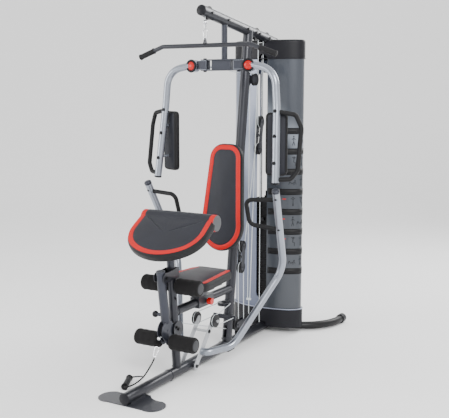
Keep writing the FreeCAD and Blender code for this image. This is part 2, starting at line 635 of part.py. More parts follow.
pad_mid = V(357, -57, 1280)
fly_pad_thick = 44.0
studs = []
for z in (1372, 1190):
    start = fly_axis(z)
    face_gap = (V(pad_mid.x, pad_mid.y, z) - start).dot(PAD_NORMAL) - fly_pad_thick / 2
    studs.append(rod(start, start + PAD_NORMAL * (face_gap - 0.0), 9))
nodes["fly_arm_right"] = join([fly_arm] + studs)
pad = block(-63.5, 63.5, -fly_pad_thick / 2, fly_pad_thick / 2, -180, 180)
pad = softened(pad, 15)
pad.rotate(V(0, 0, 0), V(0, 0, 1), fly_pad_turn)
pad.translate(pad_mid)
nodes["fly_pad_right"] = pad
hand_top = fly_axis(1463)
hand_low = fly_axis(1088)
hand_path = [hand_top + V(14, 6, 0), V(474, -54, 1448), V(503, -42, 1378), V(503, -84, 1140), V(472, -104, 1092),
             hand_low + V(14, 6, 0)]
hand = sweep(rounded(hand_path, [30, 40, 40, 30]), 13)
nodes["fly_handle_right"] = hand.cut(fly_tube)
for name in ("fly_arm", "fly_pad", "fly_handle"):
    nodes[name + "_left"] = mirrored(nodes[name + "_right"])

# ---- press arms ----------------------------------------------------------------------------------------------------
link_out = link_half_x + link_thick / 2
press_path = [press_arm_seat + X * link_out, press_knee, press_elbow, press_shoulder, press_head]
press_arm = sweep(rounded(press_path, [45, 110, 150]), arm_r)
HEAD = (press_head - press_shoulder).normalize()
press_arm = join([press_arm, dome(press_head, HEAD, arm_r, 8)])
nodes["press_arms"] = group([press_arm, mirrored(press_arm)])
links = []
for s in (-1, 1):
    x0 = s * link_half_x - link_thick / 2
    links.append(strap_plate(press_pivot, press_top_axle, 17, x0, x0 + link_thick))
    stub = press_top_axle + X * s * link_half_x
    links.append(rod(stub, stub + X * s * (sheave_thick + 16), axle_r))
    links.append(rod(stub + X * s * (sheave_thick + 13), stub + X * s * (sheave_thick + 18), 9))
cross = V(0, -295, 200)
links.append(rod(cross - X * link_half_x, cross + X * link_half_x, 7))
press_links = join(links)
nodes["press_links"] = press_links.cut(rod(press_pivot - X * 90, press_pivot + X * 90, pin_r + run_fit))


def press_axis(z):
    """Point of the press arm's upper tube at height z, on the right."""
    k = (z - press_shoulder.z) / (press_head.z - press_shoulder.z)
    return press_shoulder + (press_head - press_shoulder) * k


hold_a, hold_b = press_axis(980), press_axis(800)
hold_path = [hold_a - X * 15, V(238, -202, 972), V(236, -150, 824), hold_b - X * 15]
hold = sweep(rounded(hold_path, [38, 45]), 12.5).cut(press_arm)
nodes["press_handles"] = group([hold, mirrored(hold)])

# ---- leg lever with its sheave cheeks, shin axle and lock knob --------------------------------------------------------
lever = rod(lever_top, lever_foot, lever_r)
cheek_x = sheave_thick / 2 + 3
lever_parts = [lever]
for s in (-1, 1):
    x0 = min(s * cheek_x, s * (cheek_x + 4))
    lever_parts.append(rod(V(x0, lever_sheave.y, lever_sheave.z), V(x0 + 4, lever_sheave.y, lever_sheave.z), 56))
    lever_parts.append(strap_plate(lever_sheave, shin_axle, 22, x0, x0 + 4))
lever_parts.append(rod(lever_sheave - X * (cheek_x + 6), lever_sheave + X * (cheek_x + 6), axle_r))
lever_parts.append(rod(shin_axle - X * (shin_half - 4), shin_axle + X * (shin_half - 4), roller_axle_r))
lever_parts.append(rod(V(-48, -672, 381), V(-20, -672, 381), 9))
leg_lever = join(lever_parts)
nodes["leg_lever"] = leg_lever.cut(rod(lever_pivot - X * 60, lever_pivot + X * 60, pin_r + run_fit))


def foam_pair(axis, half):
    """Two foam rollers on one axle."""
    rolls = []
    for s in (-1, 1):
        a, b = axis + X * s * foam_inner_x, axis + X * s * half
        foam = rod(a, b, foam_r)
        foam = foam.makeFillet(9, [e for e in foam.Edges if e.BoundBox.XLength < 1])
        rolls.append(foam.cut(rod(a, b - X * s * 4, roller_axle_r + run_fit)))
    return group(rolls)


nodes["thigh_rollers"] = foam_pair(thigh_axle, thigh_half)
nodes["shin_rollers"] = foam_pair(shin_axle, shin_half)

# ---- seat ------------------------------------------------------------------------------------------------------------
mid_y = (seat_front + seat_back) / 2
seat = outline_solid([
    (V(-seat_half_back, seat_back - 45, 0), V(-seat_half_back + 16, seat_back - 12, 0), V(-seat_half_back + 50, seat_back, 0)),
    (V(-seat_half_back + 50, seat_back, 0), V(seat_half_back - 50, seat_back, 0)),
    (V(seat_half_back - 50, seat_back, 0), V(seat_half_back - 16, seat_back - 12, 0), V(seat_half_back, seat_back - 45, 0)),
    (V(seat_half_back, seat_back - 45, 0), V(seat_half_front, seat_front + 60, 0)),
    (V(seat_half_front, seat_front + 60, 0), V(seat_half_front - 17, seat_front + 17, 0), V(seat_half_front - 60, seat_front, 0)),
    (V(seat_half_front - 60, seat_front, 0), V(-seat_half_front + 60, seat_front, 0)),
    (V(-seat_half_front + 60, seat_front, 0), V(-seat_half_front + 17, seat_front + 17, 0), V(-seat_half_front, seat_front + 60, 0)),
    (V(-seat_half_front, seat_front + 60, 0), V(-seat_half_back, seat_back - 45, 0)),
], V(0, 0, seat_thick))
seat.translate(V(0, 0, seat_bottom_z))
nodes["seat_cushion"] = seat
sleeve_y0, sleeve_y1 = -370.0, -210.0
sleeve_half = seat_beam_r + 5
sleeve = block(-sleeve_half, sleeve_half, sleeve_y0, sleeve_y1, seat_beam_z - sleeve_half, seat_beam_z + sleeve_half)
sleeve = sleeve.cut(rod(V(0, sleeve_y0 - 5, seat_beam_z), V(0, sleeve_y1 + 5, seat_beam_z), seat_beam_r + 0.4))
board_z = seat_bottom_z - 10
carriage = [sleeve, block(-105, 105, seat_front + 35, seat_back - 40, board_z, seat_bottom_z)]
for s in (-1, 1):
    rail_x = s * 62
    carriage.append(block(rail_x - 9, rail_x + 9, seat_front + 40, seat_back - 45, board_z - 24, board_z - 12))
    for y in (seat_front + 70, mid_y, seat_back - 75):
        carriage.append(block(rail_x - 6, rail_x + 6, y - 12, y + 12, board_z - 12, board_z))
riser_top = board_z - 24
carriage.append(block(-71, 71, mid_y - 30, mid_y + 70, riser_top - 6, riser_top))
carriage.append(block(-26, 26, mid_y - 20, mid_y + 60, seat_beam_z + sleeve_half, riser_top - 6))
knob_axis = V(0, -289, seat_beam_z)
boss = rod(knob_axis + X * (sleeve_half - 1), knob_axis + X * (sleeve_half + 10), 11)
carriage.append(boss)
nodes["seat_carriage"] = join(carriage).cut(rod(knob_axis, knob_axis + X * 60, axle_r + run_fit))
knob_x = sleeve_half + 13
knob = rod(knob_axis + X * knob_x, knob_axis + X * (knob_x + 26), 20)
for k in range(6):
    turn = math.radians(60 * k)
    at = knob_axis + V(0, 24.5 * math.cos(turn), 24.5 * math.sin(turn))
    knob = knob.cut(rod(at + X * (knob_x - 1), at + X * (knob_x + 27), 7))
shank = rod(knob_axis + X * (seat_beam_r + 1.0), knob_axis + X * (knob_x + 4), axle_r)
nodes["seat_knob"] = join([knob, shank])

# ---- preacher pad ------------------------------------------------------------------------------------------------------
slope_r = math.radians(pad_slope)
DOWN_PAD = V(0, -math.cos(slope_r), -math.sin(slope_r))
PAD_UP = V(0, -math.sin(slope_r), math.cos(slope_r))


def preacher_point(x, s):
    """Point on the preacher pad's upper face, s down from its rear edge."""
    return pad_rear + X * x + DOWN_PAD * s


preacher = outline_solid([
    (preacher_point(-238, 0), preacher_point(-243, 110)),
    (preacher_point(-243, 110), preacher_point(-219, 213), preacher_point(-150, 280)),
    (preacher_point(-150, 280), preacher_point(0, 320), preacher_point(150, 280)),
    (preacher_point(150, 280), preacher_point(219, 213), preacher_point(243, 110)),
    (preacher_point(243, 110), preacher_point(238, 0)),
    (preacher_point(238, 0), preacher_point(-238, 0)),
], PAD_UP * -pad_thick)
roll_axis = pad_rear + PAD_UP * -roll_r
roll = rod(roll_axis - X * 238, roll_axis + X * 238, roll_r)
nodes["preacher_pad"] = join([preacher, roll])
inner_r = post_r - post_wall - gap
post_low = on_post(thigh_z + roller_axle_r + 12)
under = preacher_point(0, 0) + PAD_UP * -pad_thick
reach = (under - post_low).dot(PAD_UP) / POST.dot(PAD_UP)
post_high = post_low + POST * reach
under_plate = block(-70, 70, -60, 60, -8, 0)
under_plate.rotate(V(0, 0, 0), X, pad_slope)
under_plate.translate(post_high)
inner_post = rod(post_low, post_high + POST * 60, inner_r)
half_space = block(-300, 300, -300, 300, 0, 400)
half_space.rotate(V(0, 0, 0), X, pad_slope)
half_space.translate(post_high)
nodes["preacher_post"] = join([inner_post.cut(half_space), under_plate])

# ---- floating pulley blocks ----------------------------------------------------------------------------------------------
for name, top, low in (("float_a", float_a_top, float_a_low), ("float_b", float_b_top, float_b_low)):
    parts = []
    half = sheave_thick / 2 + 2
    for s in (-1, 1):
        x0 = min(s * half, s * (half + 3))
        parts.append(strap_plate(top, low, 20, x0, x0 + 3))
    for centre in (top, low):
        parts.append(rod(centre - X * (half + 7), centre + X * (half + 7), axle_r))
    centre = (top + low) * 0.5
    parts.append(rod(centre - X * half, centre + X * half, 8))
    nodes[name] = join(parts)

# ---- pulleys ----------------------------------------------------------------------------------------------------------------
nodes["front_pulley"] = sheave(front_sheave)
nodes["rear_pulley_front"] = sheave(rear_sheave_a)
nodes["rear_pulley_back"] = sheave(rear_sheave_b)
nodes["low_pulley"] = sheave(post_sheave)
nodes["lever_pulley"] = sheave(lever_sheave)
nodes["base_pulley_front"] = sheave(base_sheave_a)
nodes["base_pulley_back"] = sheave(base_sheave_b)
nodes["float_a_pulley_top"] = sheave(float_a_top)
nodes["float_a_pulley_low"] = sheave(float_a_low)
nodes["float_b_pulley_top"] = sheave(float_b_top)
nodes["float_b_pulley_low"] = sheave(float_b_low)
fly_wheel = sheave(fly_sheave)
nodes["fly_pulleys"] = group([fly_wheel, mirrored(fly_wheel)])
press_sheave = press_top_axle + X * press_x
press_wheel = sheave(press_sheave)
nodes["press_pulleys"] = group([press_wheel, mirrored(press_wheel)])

# ---- steel cables --------------------------------------------------------------------------------------------------------------
high = cable(belt([V(0, lat_y, lat_run_top), (front_sheave, 1), (rear_sheave_a, 1), (float_b_top, -1),
                   (rear_sheave_b, 1), V(0, stack_y, stack_run_top)]))
link = cable(belt([link_anchor, (float_a_top, -1), (float_b_low, 1),
                   V(0, float_b_low.y + sheave_pitch, beam_z + frame_r)]))
yoke_point = V(0, base_sheave_b.y + sheave_pitch, 250)
stop_point = V(0, lever_sheave.y - 50, 272)
low = cable(belt([stop_point, (lever_sheave, -1), (post_sheave, 1), (base_sheave_a, -1), (float_a_low, 1),
                  (base_sheave_b, -1), yoke_point]))
fly_top = fly_sheave.z + sheave_pitch
fly_runs = []
for s in (-1, 1):
    start = V(s * (fly_eye.x - 3), fly_eye.y + 10, fly_eye.z - 2)
    before = V(s * fly_sheave.x, fly_sheave.y - sheave_r + 6, fly_top)
    corner = V(s * fly_sheave.x, fly_sheave.y + sheave_pitch, fly_top)
    after = V(s * fly_sheave.x, fly_sheave.y + sheave_pitch, fly_sheave.z - 60)
    low_end = V(s * 8, yoke_point.y, yoke_point.z + 12)
    fly_runs.append(cable(rounded([start, before, corner, after, low_end], [90, sheave_pitch, 400])))
low_z = press_top_axle.z - sheave_pitch
front_y = press_top_axle.y - sheave_pitch
turn_y = guide_c.y + sheave_pitch
high_z = press_top_axle.z + sheave_pitch
half_loop = [V(press_x, anchor_y + 7, anchor_z), V(press_x, press_top_axle.y + 20, low_z), V(press_x, front_y, low_z),
             V(press_x, front_y, high_z), V(press_x, press_top_axle.y + sheave_r + 6, high_z)]
half_loop.append(V(sheave_pitch, turn_y, guide_c.z))
loop = half_loop + [V(-p.x, p.y, p.z) for p in reversed(half_loop)]
bends = [120, sheave_pitch - 0.5, sheave_pitch - 0.5, 90, 26]
press_loop = cable(rounded(loop, bends + bends[::-1]))
yoke_block = block(-14, 14, yoke_point.y - 6, yoke_point.y + 6, yoke_point.z, yoke_point.z + 12)
stop_balls = [Part.makeSphere(9, V(s * press_x, anchor_y + 16.5, anchor_z)) for s in (-1, 1)]
nodes["steel_cables"] = group([high, link, low, press_loop, yoke_block] + fly_runs + stop_balls)
nodes["stack_cable"] = rod(V(0, stack_y, stem_top), V(0, stack_y, stack_run_top), cable_r)

# ---- stirrup on the low cable: stop, snap link, strap and hand grip ----------------------------------------------------------------
stop = Part.makeSphere(10, stop_point + V(0, -12, -4))
hook_low = V(-8, -764, 176)
snap = carabiner(V(0, 0, 0), 54, 12, 2.6)
snap.rotate(V(0, 0, 0), V(0, 0, 1), 35)
snap.rotate(V(0, 0, 0), X, -32)
snap.translate(hook_low)
nodes["low_clip"] = group([stop, snap])
grip_a, grip_b = V(-186, -752, 20), V(-132, -866, 20)
GRIP = (grip_b - grip_a).normalize()
grip_a2, grip_b2 = grip_a - GRIP * 6, grip_b + GRIP * 6
stirrup = rod(grip_a, grip_b, 16)
flanges = [rod(grip_a - GRIP * 5, grip_a, 19), rod(grip_b, grip_b + GRIP * 5, 19)]
nodes["stirrup_handle"] = join([stirrup] + flanges)
strap_r = 4.0
fork_point = V(-62, -790, 62)
strap_runs = [
    rounded([hook_low + V(0, 0, -9), V(-26, -774, 118), fork_point], [140]),
    rounded([fork_point, V(-134, -712, 30), grip_a - GRIP * 11], [46]),
    rounded([fork_point, V(-70, -868, 30), grip_b + GRIP * 10], [34]),
]
straps = []
for path in strap_runs:
    solid = sweep(path, strap_r)
    print("strap length %.0f mm, volume ratio %.4f" % (path.Length, solid.Volume / (math.pi * strap_r ** 2 * path.Length)))
    straps.append(solid)
nodes["stirrup_strap"] = join(straps)

# ---- bolts and hinge pins --------------------------------------------------------------------------------------------------------------
bolts = [
    pin_with_heads(press_pivot - X * (link_out + gap), press_pivot + X * (link_out + gap)),
    pin_with_heads(lever_pivot - X * (plate_x + 4), lever_pivot + X * (plate_x + 4)),
    pin_with_heads(post_sheave - X * (post_r + 3), post_sheave + X * (post_r + 3), axle_r),
]
for s in (-1, 1):
    low_end = V(s * fly_pivot.x, fly_pivot.y, fly_low_z - 5)
    bolts.append(pin_with_heads(low_end, low_end + V(0, 0, fly_gap + 10)))
for centre in (front_sheave, rear_sheave_a, rear_sheave_b):
    bolts.append(pin_with_heads(centre - X * frame_r, centre + X * frame_r, axle_r, 9, 6))
for y in (hanger_y, crown.y - 52, crown.y + 52):
    p = on_top_beam(y)
    bolts.append(pin_with_heads(p - X * frame_r, p + X * frame_r, axle_r, 9, 6))
nodes["frame_bolts"] = group(bolts)
through = rod(V(-60, 0, 0), V(60, 0, 0), axle_r)
for y in (front_sheave.y, rear_sheave_a.y, rear_sheave_b.y, hanger_y, crown.y - 52, crown.y + 52):
    tool = through.copy()
    tool.translate(on_top_beam(y))
    nodes["top_beam"] = nodes["top_beam"].cut(tool)

os.makedirs("parts", exist_ok=True)
for name, shape in nodes.items():
    shape.exportStep("parts/%s.step" % name)
print(len(nodes), "nodes")
for name, shape in sorted(nodes.items()):
    box = shape.BoundBox
    if not shape.isValid() or not shape.Solids:
        print("INVALID", name, len(shape.Solids))
    print("%-22s solids %2d  x %6.0f %6.0f  y %6.0f %6.0f  z %6.0f %6.0f" % (
        name, len(shape.Solids), box.XMin, box.XMax, box.YMin, box.YMax, box.ZMin, box.ZMax))
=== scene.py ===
"""Looks of the multi station home gym: paint, padded vinyl, foam rollers, grips, chart and trim."""
import json
import math
import bpy
from mathutils import Matrix, Vector, noise


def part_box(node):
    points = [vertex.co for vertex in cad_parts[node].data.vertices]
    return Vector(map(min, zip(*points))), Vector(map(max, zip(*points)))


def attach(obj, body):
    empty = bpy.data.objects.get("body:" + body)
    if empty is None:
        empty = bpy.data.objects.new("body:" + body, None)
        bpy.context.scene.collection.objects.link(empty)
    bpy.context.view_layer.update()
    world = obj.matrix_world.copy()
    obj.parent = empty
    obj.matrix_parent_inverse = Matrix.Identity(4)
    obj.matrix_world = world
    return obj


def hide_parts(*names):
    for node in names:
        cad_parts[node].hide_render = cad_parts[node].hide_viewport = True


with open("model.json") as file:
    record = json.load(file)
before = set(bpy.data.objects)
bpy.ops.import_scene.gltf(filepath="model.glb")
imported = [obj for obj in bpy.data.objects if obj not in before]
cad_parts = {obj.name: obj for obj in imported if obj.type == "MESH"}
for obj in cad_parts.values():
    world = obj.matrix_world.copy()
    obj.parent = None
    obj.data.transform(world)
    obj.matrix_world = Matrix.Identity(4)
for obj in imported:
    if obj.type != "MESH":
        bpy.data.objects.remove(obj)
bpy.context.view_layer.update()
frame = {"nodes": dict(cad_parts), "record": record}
node = frame["nodes"]

# ---- Camera ----------------------------------------------------------------------------------------------
# It stands in front of the machine, towards its +X side and at about head height, and looks a little down.
camera_turn = 29.935
camera_dip = 8.267
camera_data = bpy.data.cameras.new("camera")
camera = bpy.data.objects.new("camera", camera_data)
bpy.context.scene.collection.objects.link(camera)
camera.location = (2.3746, -4.1518, 1.5713)
camera.rotation_euler = (math.radians(90 - camera_dip), 0, math.radians(camera_turn))
camera_data.sensor_width = 36
camera_data.lens = 64.35
bpy.context.scene.camera = camera

# ---- The stirrup's cords ---------------------------------------------------------------------------------
# A doubled strap from the snap link to a fork, and two thin straps to the ends of the grip on the floor.
# Their thickness is in the points' radius, because the bounds of a curve grow with that radius.
FORK = (-0.062, -0.790, 0.062)
strap_radius = 0.004
routes = [
    ("strap_upper", [(-0.008, -0.764, 0.167), (-0.026, -0.774, 0.118), FORK], 0.121, "object"),
    ("strap_rear", [FORK, (-0.134, -0.712, 0.030), (-0.1907, -0.7421, 0.020)], 0.166, "fitting"),
    ("strap_front", [FORK, (-0.070, -0.868, 0.030), (-0.1277, -0.8750, 0.020)], 0.136, "fitting"),
]
straps = []
for name, points, length, end in routes:
    data = bpy.data.curves.new(name, "CURVE")
    data.dimensions = "3D"
    data.bevel_depth = 1.0
    data.bevel_resolution = 4
    data.use_fill_caps = True
    spline = data.splines.new("NURBS")
    spline.points.add(len(points) - 1)
    for item, place in zip(spline.points, points):
        item.co = (*place, 1)
        item.radius = strap_radius
    spline.order_u = 3
    spline.use_endpoint_u = True
    spline.resolution_u = 16
    strap = bpy.data.objects.new(name, data)
    bpy.context.scene.collection.objects.link(strap)
    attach(strap, "lever")
    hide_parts("stirrup_strap")
    straps.append(strap)


# ---- Paint, plastic, steel and rubber of the CAD frame ---------------------------------------------------
# The frame is powder coated steel tube, with chromed rods, moulded black plastic, rubber and foam on it.
# Each finish is its own node material, patterned in object coordinates, which are metres.
def surface(name, colour, rough, metal=0.0, coat=0.0, mottle=0.12, mottle_scale=9.0, grain=900.0, bump=0.04,
            sheen=0.0, rough_spread=0.12):
    """Principled material with soft colour variation, fine surface grain and uneven roughness."""
    mat = bpy.data.materials.new(name)
    mat.use_nodes = True
    tree = mat.node_tree
    links = tree.links
    shader = tree.nodes["Principled BSDF"]
    shader.inputs["Metallic"].default_value = metal
    shader.inputs["Coat Weight"].default_value = coat
    shader.inputs["Coat Roughness"].default_value = 0.12
    shader.inputs["Sheen Weight"].default_value = sheen
    shader.inputs["Specular IOR Level"].default_value = 0.5 if metal > 0.3 or coat > 0.3 else 0.25
    place = tree.nodes.new("ShaderNodeTexCoord")
    broad = tree.nodes.new("ShaderNodeTexNoise")
    broad.inputs["Scale"].default_value = mottle_scale
    broad.inputs["Detail"].default_value = 5
    links.new(place.outputs["Object"], broad.inputs["Vector"])
    ramp = tree.nodes.new("ShaderNodeValToRGB")
    ramp.color_ramp.elements[0].position = 0.3
    ramp.color_ramp.elements[1].position = 0.7
    ramp.color_ramp.elements[0].color = (*[c * (1 - mottle) for c in colour], 1)
    ramp.color_ramp.elements[1].color = (*[min(1, c * (1 + mottle)) for c in colour], 1)
    links.new(broad.outputs["Fac"], ramp.inputs["Fac"])
    links.new(ramp.outputs["Color"], shader.inputs["Base Color"])
    spread = tree.nodes.new("ShaderNodeMapRange")
    spread.inputs["To Min"].default_value = max(0.03, rough - rough_spread / 2)
    spread.inputs["To Max"].default_value = min(1, rough + rough_spread / 2)
    links.new(broad.outputs["Fac"], spread.inputs["Value"])
    links.new(spread.outputs["Result"], shader.inputs["Roughness"])
    fine = tree.nodes.new("ShaderNodeTexNoise")
    fine.inputs["Scale"].default_value = grain
    fine.inputs["Detail"].default_value = 3
    links.new(place.outputs["Object"], fine.inputs["Vector"])
    relief = tree.nodes.new("ShaderNodeBump")
    relief.inputs["Strength"].default_value = bump
    relief.inputs["Distance"].default_value = 0.001
    links.new(fine.outputs["Fac"], relief.inputs["Height"])
    links.new(relief.outputs["Normal"], shader.inputs["Normal"])
    return mat


def raise_pattern(mat, texture, output, depth, distance):
    """Lays a pattern in relief over a material's fine grain."""
    tree = mat.node_tree
    shader = tree.nodes["Principled BSDF"]
    place = next(n for n in tree.nodes if n.type == "TEX_COORD")
    relief = next(n for n in tree.nodes if n.type == "BUMP")
    tree.links.new(place.outputs["Object"], texture.inputs["Vector"])
    second = tree.nodes.new("ShaderNodeBump")
    second.inputs["Strength"].default_value = depth
    second.inputs["Distance"].default_value = distance
    tree.links.new(texture.outputs[output], second.inputs["Height"])
    tree.links.new(relief.outputs["Normal"], second.inputs["Normal"])
    tree.links.new(second.outputs["Normal"], shader.inputs["Normal"])
    return mat


def leather_grain(mat, scale=420.0, depth=0.35):
    """Adds the pebbled cells of embossed vinyl."""
    cells = mat.node_tree.nodes.new("ShaderNodeTexVoronoi")
    cells.feature = "DISTANCE_TO_EDGE"
    cells.inputs["Scale"].default_value = scale
    return raise_pattern(mat, cells, "Distance", depth, 0.0006)


def ribs(mat, axis, pitch, depth=0.6):
    """Adds moulded ribs along axis 0, 1 or 2 of a grip."""
    wave_at_scale_one = 0.314
    wave = mat.node_tree.nodes.new("ShaderNodeTexWave")
    wave.bands_direction = "XYZ"[axis]
    wave.inputs["Scale"].default_value = wave_at_scale_one / pitch
    wave.inputs["Distortion"].default_value = 0.0
    return raise_pattern(mat, wave, "Fac", depth, 0.0012)


charcoal = surface("charcoal_paint", (0.026, 0.027, 0.034), 0.38, metal=0.55, coat=0.22,
                   grain=2600, bump=0.02)
slate = surface("slate_paint", (0.030, 0.033, 0.046), 0.38, metal=0.5, coat=0.22, grain=2600, bump=0.02)
silver = surface("silver_paint", (0.30, 0.325, 0.375), 0.30, metal=0.85, coat=0.35, mottle=0.06,
                 grain=3000, bump=0.015)
black_paint = surface("black_paint", (0.007, 0.007, 0.008), 0.40, coat=0.1)
foot_paint = surface("foot_paint", (0.035, 0.037, 0.046), 0.40, metal=0.4, coat=0.25)
black_plastic = surface("black_plastic", (0.007, 0.007, 0.010), 0.42, grain=1500, bump=0.08)
iron = surface("plate_iron", (0.008, 0.008, 0.009), 0.55, metal=0.3, grain=700, bump=0.25, mottle=0.25)
chrome = surface("chrome", (0.78, 0.79, 0.81), 0.08, metal=1.0, mottle=0.03, bump=0.005, rough_spread=0.05)
black_bolt = surface("black_bolt", (0.02, 0.02, 0.022), 0.32, metal=0.8, grain=1800, bump=0.05)
rubber = surface("rubber", (0.006, 0.006, 0.007), 0.60, grain=1200, bump=0.15)
foam = surface("foam", (0.005, 0.0045, 0.005), 0.85, grain=1600, bump=0.5, mottle=0.2, sheen=0.04)
red_plastic = surface("red_plastic", (0.55, 0.006, 0.004), 0.25, coat=0.3, mottle=0.08, bump=0.02)
grey_paint = surface("grey_paint", (0.045, 0.047, 0.055), 0.40, metal=0.4, coat=0.2)
nylon = surface("nylon_pulley", (0.010, 0.010, 0.012), 0.42, grain=1400, bump=0.05)
coated_cable = surface("coated_cable", (0.60, 0.64, 0.66), 0.30, coat=0.4, mottle=0.05)
webbing = surface("webbing", (0.006, 0.006, 0.007), 0.80, grain=2200, bump=0.6, sheen=0.2)
vinyl = leather_grain(surface("vinyl_charcoal", (0.016, 0.017, 0.023), 0.47, mottle=0.12, sheen=0.02))
grip_rubber = ribs(surface("grip_rubber", (0.005, 0.005, 0.006), 0.55, grain=1200, bump=0.15), 2, 0.006)

finish_of = {
    "frame_paint": charcoal, "post_paint": charcoal, "stabiliser_paint": black_paint,
    "foot_paint": foot_paint,
    "bracket_paint": slate, "arm_paint": silver, "black_plastic": black_plastic, "plate_iron": iron,
    "chrome_steel": chrome, "lat_paint": charcoal, "bolt_steel": black_bolt,
    "grip_rubber": grip_rubber, "foam_black": foam,
    "vinyl": vinyl, "carriage_paint": grey_paint, "knob_red": red_plastic, "cable_steel": coated_cable,
    "strap_web": webbing, "block_steel": grey_paint, "pulley_plastic": nylon,
    "shell_left": slate, "shell_right": slate,
}
for part in frame["record"]["subparts"]:
    mesh = node[part["node"]].data
    mesh.materials.clear()
    mesh.materials.append(finish_of[part["material_slot"]])
for strap in straps:
    strap.data.materials.append(webbing)
node["leg_lever"].data.materials[0] = slate
node["preacher_post"].data.materials[0] = slate
node["press_links"].data.materials[0] = surface("link_paint", (0.42, 0.43, 0.45), 0.45, metal=0.2,
                                                grain=2600, bump=0.02)
for name in ("press_handles", "fly_handle_left", "fly_handle_right"):
    node[name].data.materials[0] = grip_rubber


# ---- Tower panels ----------------------------------------------------------------------------------------
# Two painted half shells, whose colour fades with height. The left one is light slate blue with a pale
# swoosh, and the right one is darker, with a pale smoky patch near its top.
tower_half_width = 0.242
tower_half_depth = 0.100
tower_middle_y = 0.556
def panel_paint(name, low, high, streak, centre, slope, width):
    """Painted sheet whose colour fades with height, with one soft slanting swoosh."""
    mat = surface(name, low, 0.30, metal=0.35, coat=0.55, grain=2600, bump=0.012)
    tree = mat.node_tree
    shader = tree.nodes["Principled BSDF"]
    place = next(n for n in tree.nodes if n.type == "TEX_COORD")
    split = tree.nodes.new("ShaderNodeSeparateXYZ")
    tree.links.new(place.outputs["Object"], split.inputs["Vector"])
    fade = tree.nodes.new("ShaderNodeMapRange")
    fade.inputs["From Min"].default_value = 0.2
    fade.inputs["From Max"].default_value = 1.75
    tree.links.new(split.outputs["Z"], fade.inputs["Value"])
    tone = tree.nodes.new("ShaderNodeMix")
    tone.data_type = "RGBA"
    tone.inputs["A"].default_value = (*low, 1)
    tone.inputs["B"].default_value = (*high, 1)
    tree.links.new(fade.outputs["Result"], tone.inputs["Factor"])
    wobble = tree.nodes.new("ShaderNodeTexNoise")
    wobble.inputs["Scale"].default_value = 2.2
    wobble.inputs["Detail"].default_value = 2
    tree.links.new(place.outputs["Object"], wobble.inputs["Vector"])
    def maths(operation, source, value=None, added=None):
        """One sum on the way to the swoosh."""
        step = tree.nodes.new("ShaderNodeMath")
        step.operation = operation
        tree.links.new(source, step.inputs[0])
        if value is not None:
            step.inputs[1].default_value = value
        if added is not None:
            tree.links.new(added, step.inputs[2])
        return step.outputs["Value"]

    slant = maths("MULTIPLY_ADD", split.outputs["X"], slope, split.outputs["Z"])
    bent = maths("MULTIPLY_ADD", wobble.outputs["Fac"], 0.35, slant)
    distance = maths("ABSOLUTE", maths("SUBTRACT", bent, centre))
    band = tree.nodes.new("ShaderNodeMapRange")
    band.interpolation_type = "SMOOTHSTEP"
    band.inputs["From Min"].default_value = width
    band.inputs["From Max"].default_value = 0.0
    tree.links.new(distance, band.inputs["Value"])
    mixed = tree.nodes.new("ShaderNodeMix")
    mixed.data_type = "RGBA"
    mixed.inputs["B"].default_value = (*streak, 1)
    tree.links.new(band.outputs["Result"], mixed.inputs["Factor"])
    tree.links.new(tone.outputs["Result"], mixed.inputs["A"])
    tree.links.new(mixed.outputs["Result"], shader.inputs["Base Color"])
    return mat


node["tower_shell_left"].data.materials[0] = panel_paint(
    "panel_left", (0.115, 0.135, 0.200), (0.19, 0.215, 0.285), (0.30, 0.33, 0.41), 1.05, 2.6, 0.22)
node["tower_shell_right"].data.materials[0] = panel_paint(
    "panel_right", (0.040, 0.046, 0.056), (0.045, 0.052, 0.066), (0.20, 0.225, 0.26), 1.62, 0.9, 0.20)


def on_shell(turn, z, lift):
    """Point on the tower's surface, turn radians round from the middle of its front, lifted off it."""
    return Vector(((tower_half_width + lift) * math.sin(turn),
                   tower_middle_y - (tower_half_depth + lift) * math.cos(turn), z))


def add_mesh(name, verts, faces, mats, body, smooth=True):
    """New mesh object in the row frame, riding on a body."""
    mesh = bpy.data.meshes.new(name)
    mesh.from_pydata([tuple(v) for v in verts], [], faces)
    mesh.update()
    for mat in mats:
        mesh.materials.append(mat)
    mesh.polygons.foreach_set("use_smooth", [smooth] * len(mesh.polygons))
    obj = bpy.data.objects.new(name, mesh)
    bpy.context.scene.collection.objects.link(obj)
    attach(obj, body)
    return obj


def shell_patch(verts, faces, turn0, turn1, z0, z1, lift, steps=28):
    """Adds a curved rectangle that lies on the tower's surface, as a thin closed slab."""
    start = len(verts)
    for k in range(steps + 1):
        turn = turn0 + (turn1 - turn0) * k / steps
        verts.extend([on_shell(turn, z0, lift), on_shell(turn, z1, lift), on_shell(turn, z1, lift - 0.0012),
                      on_shell(turn, z0, lift - 0.0012)])
    for k in range(steps):
        a, b = start + 4 * k, start + 4 * k + 4
        for i in range(4):
            j = (i + 1) % 4
            faces.append((a + i, b + i, b + j, a + j)[::-1])
    faces.append((start, start + 1, start + 2, start + 3)[::-1])
    end = start + 4 * steps
    faces.append((end, end + 1, end + 2, end + 3))


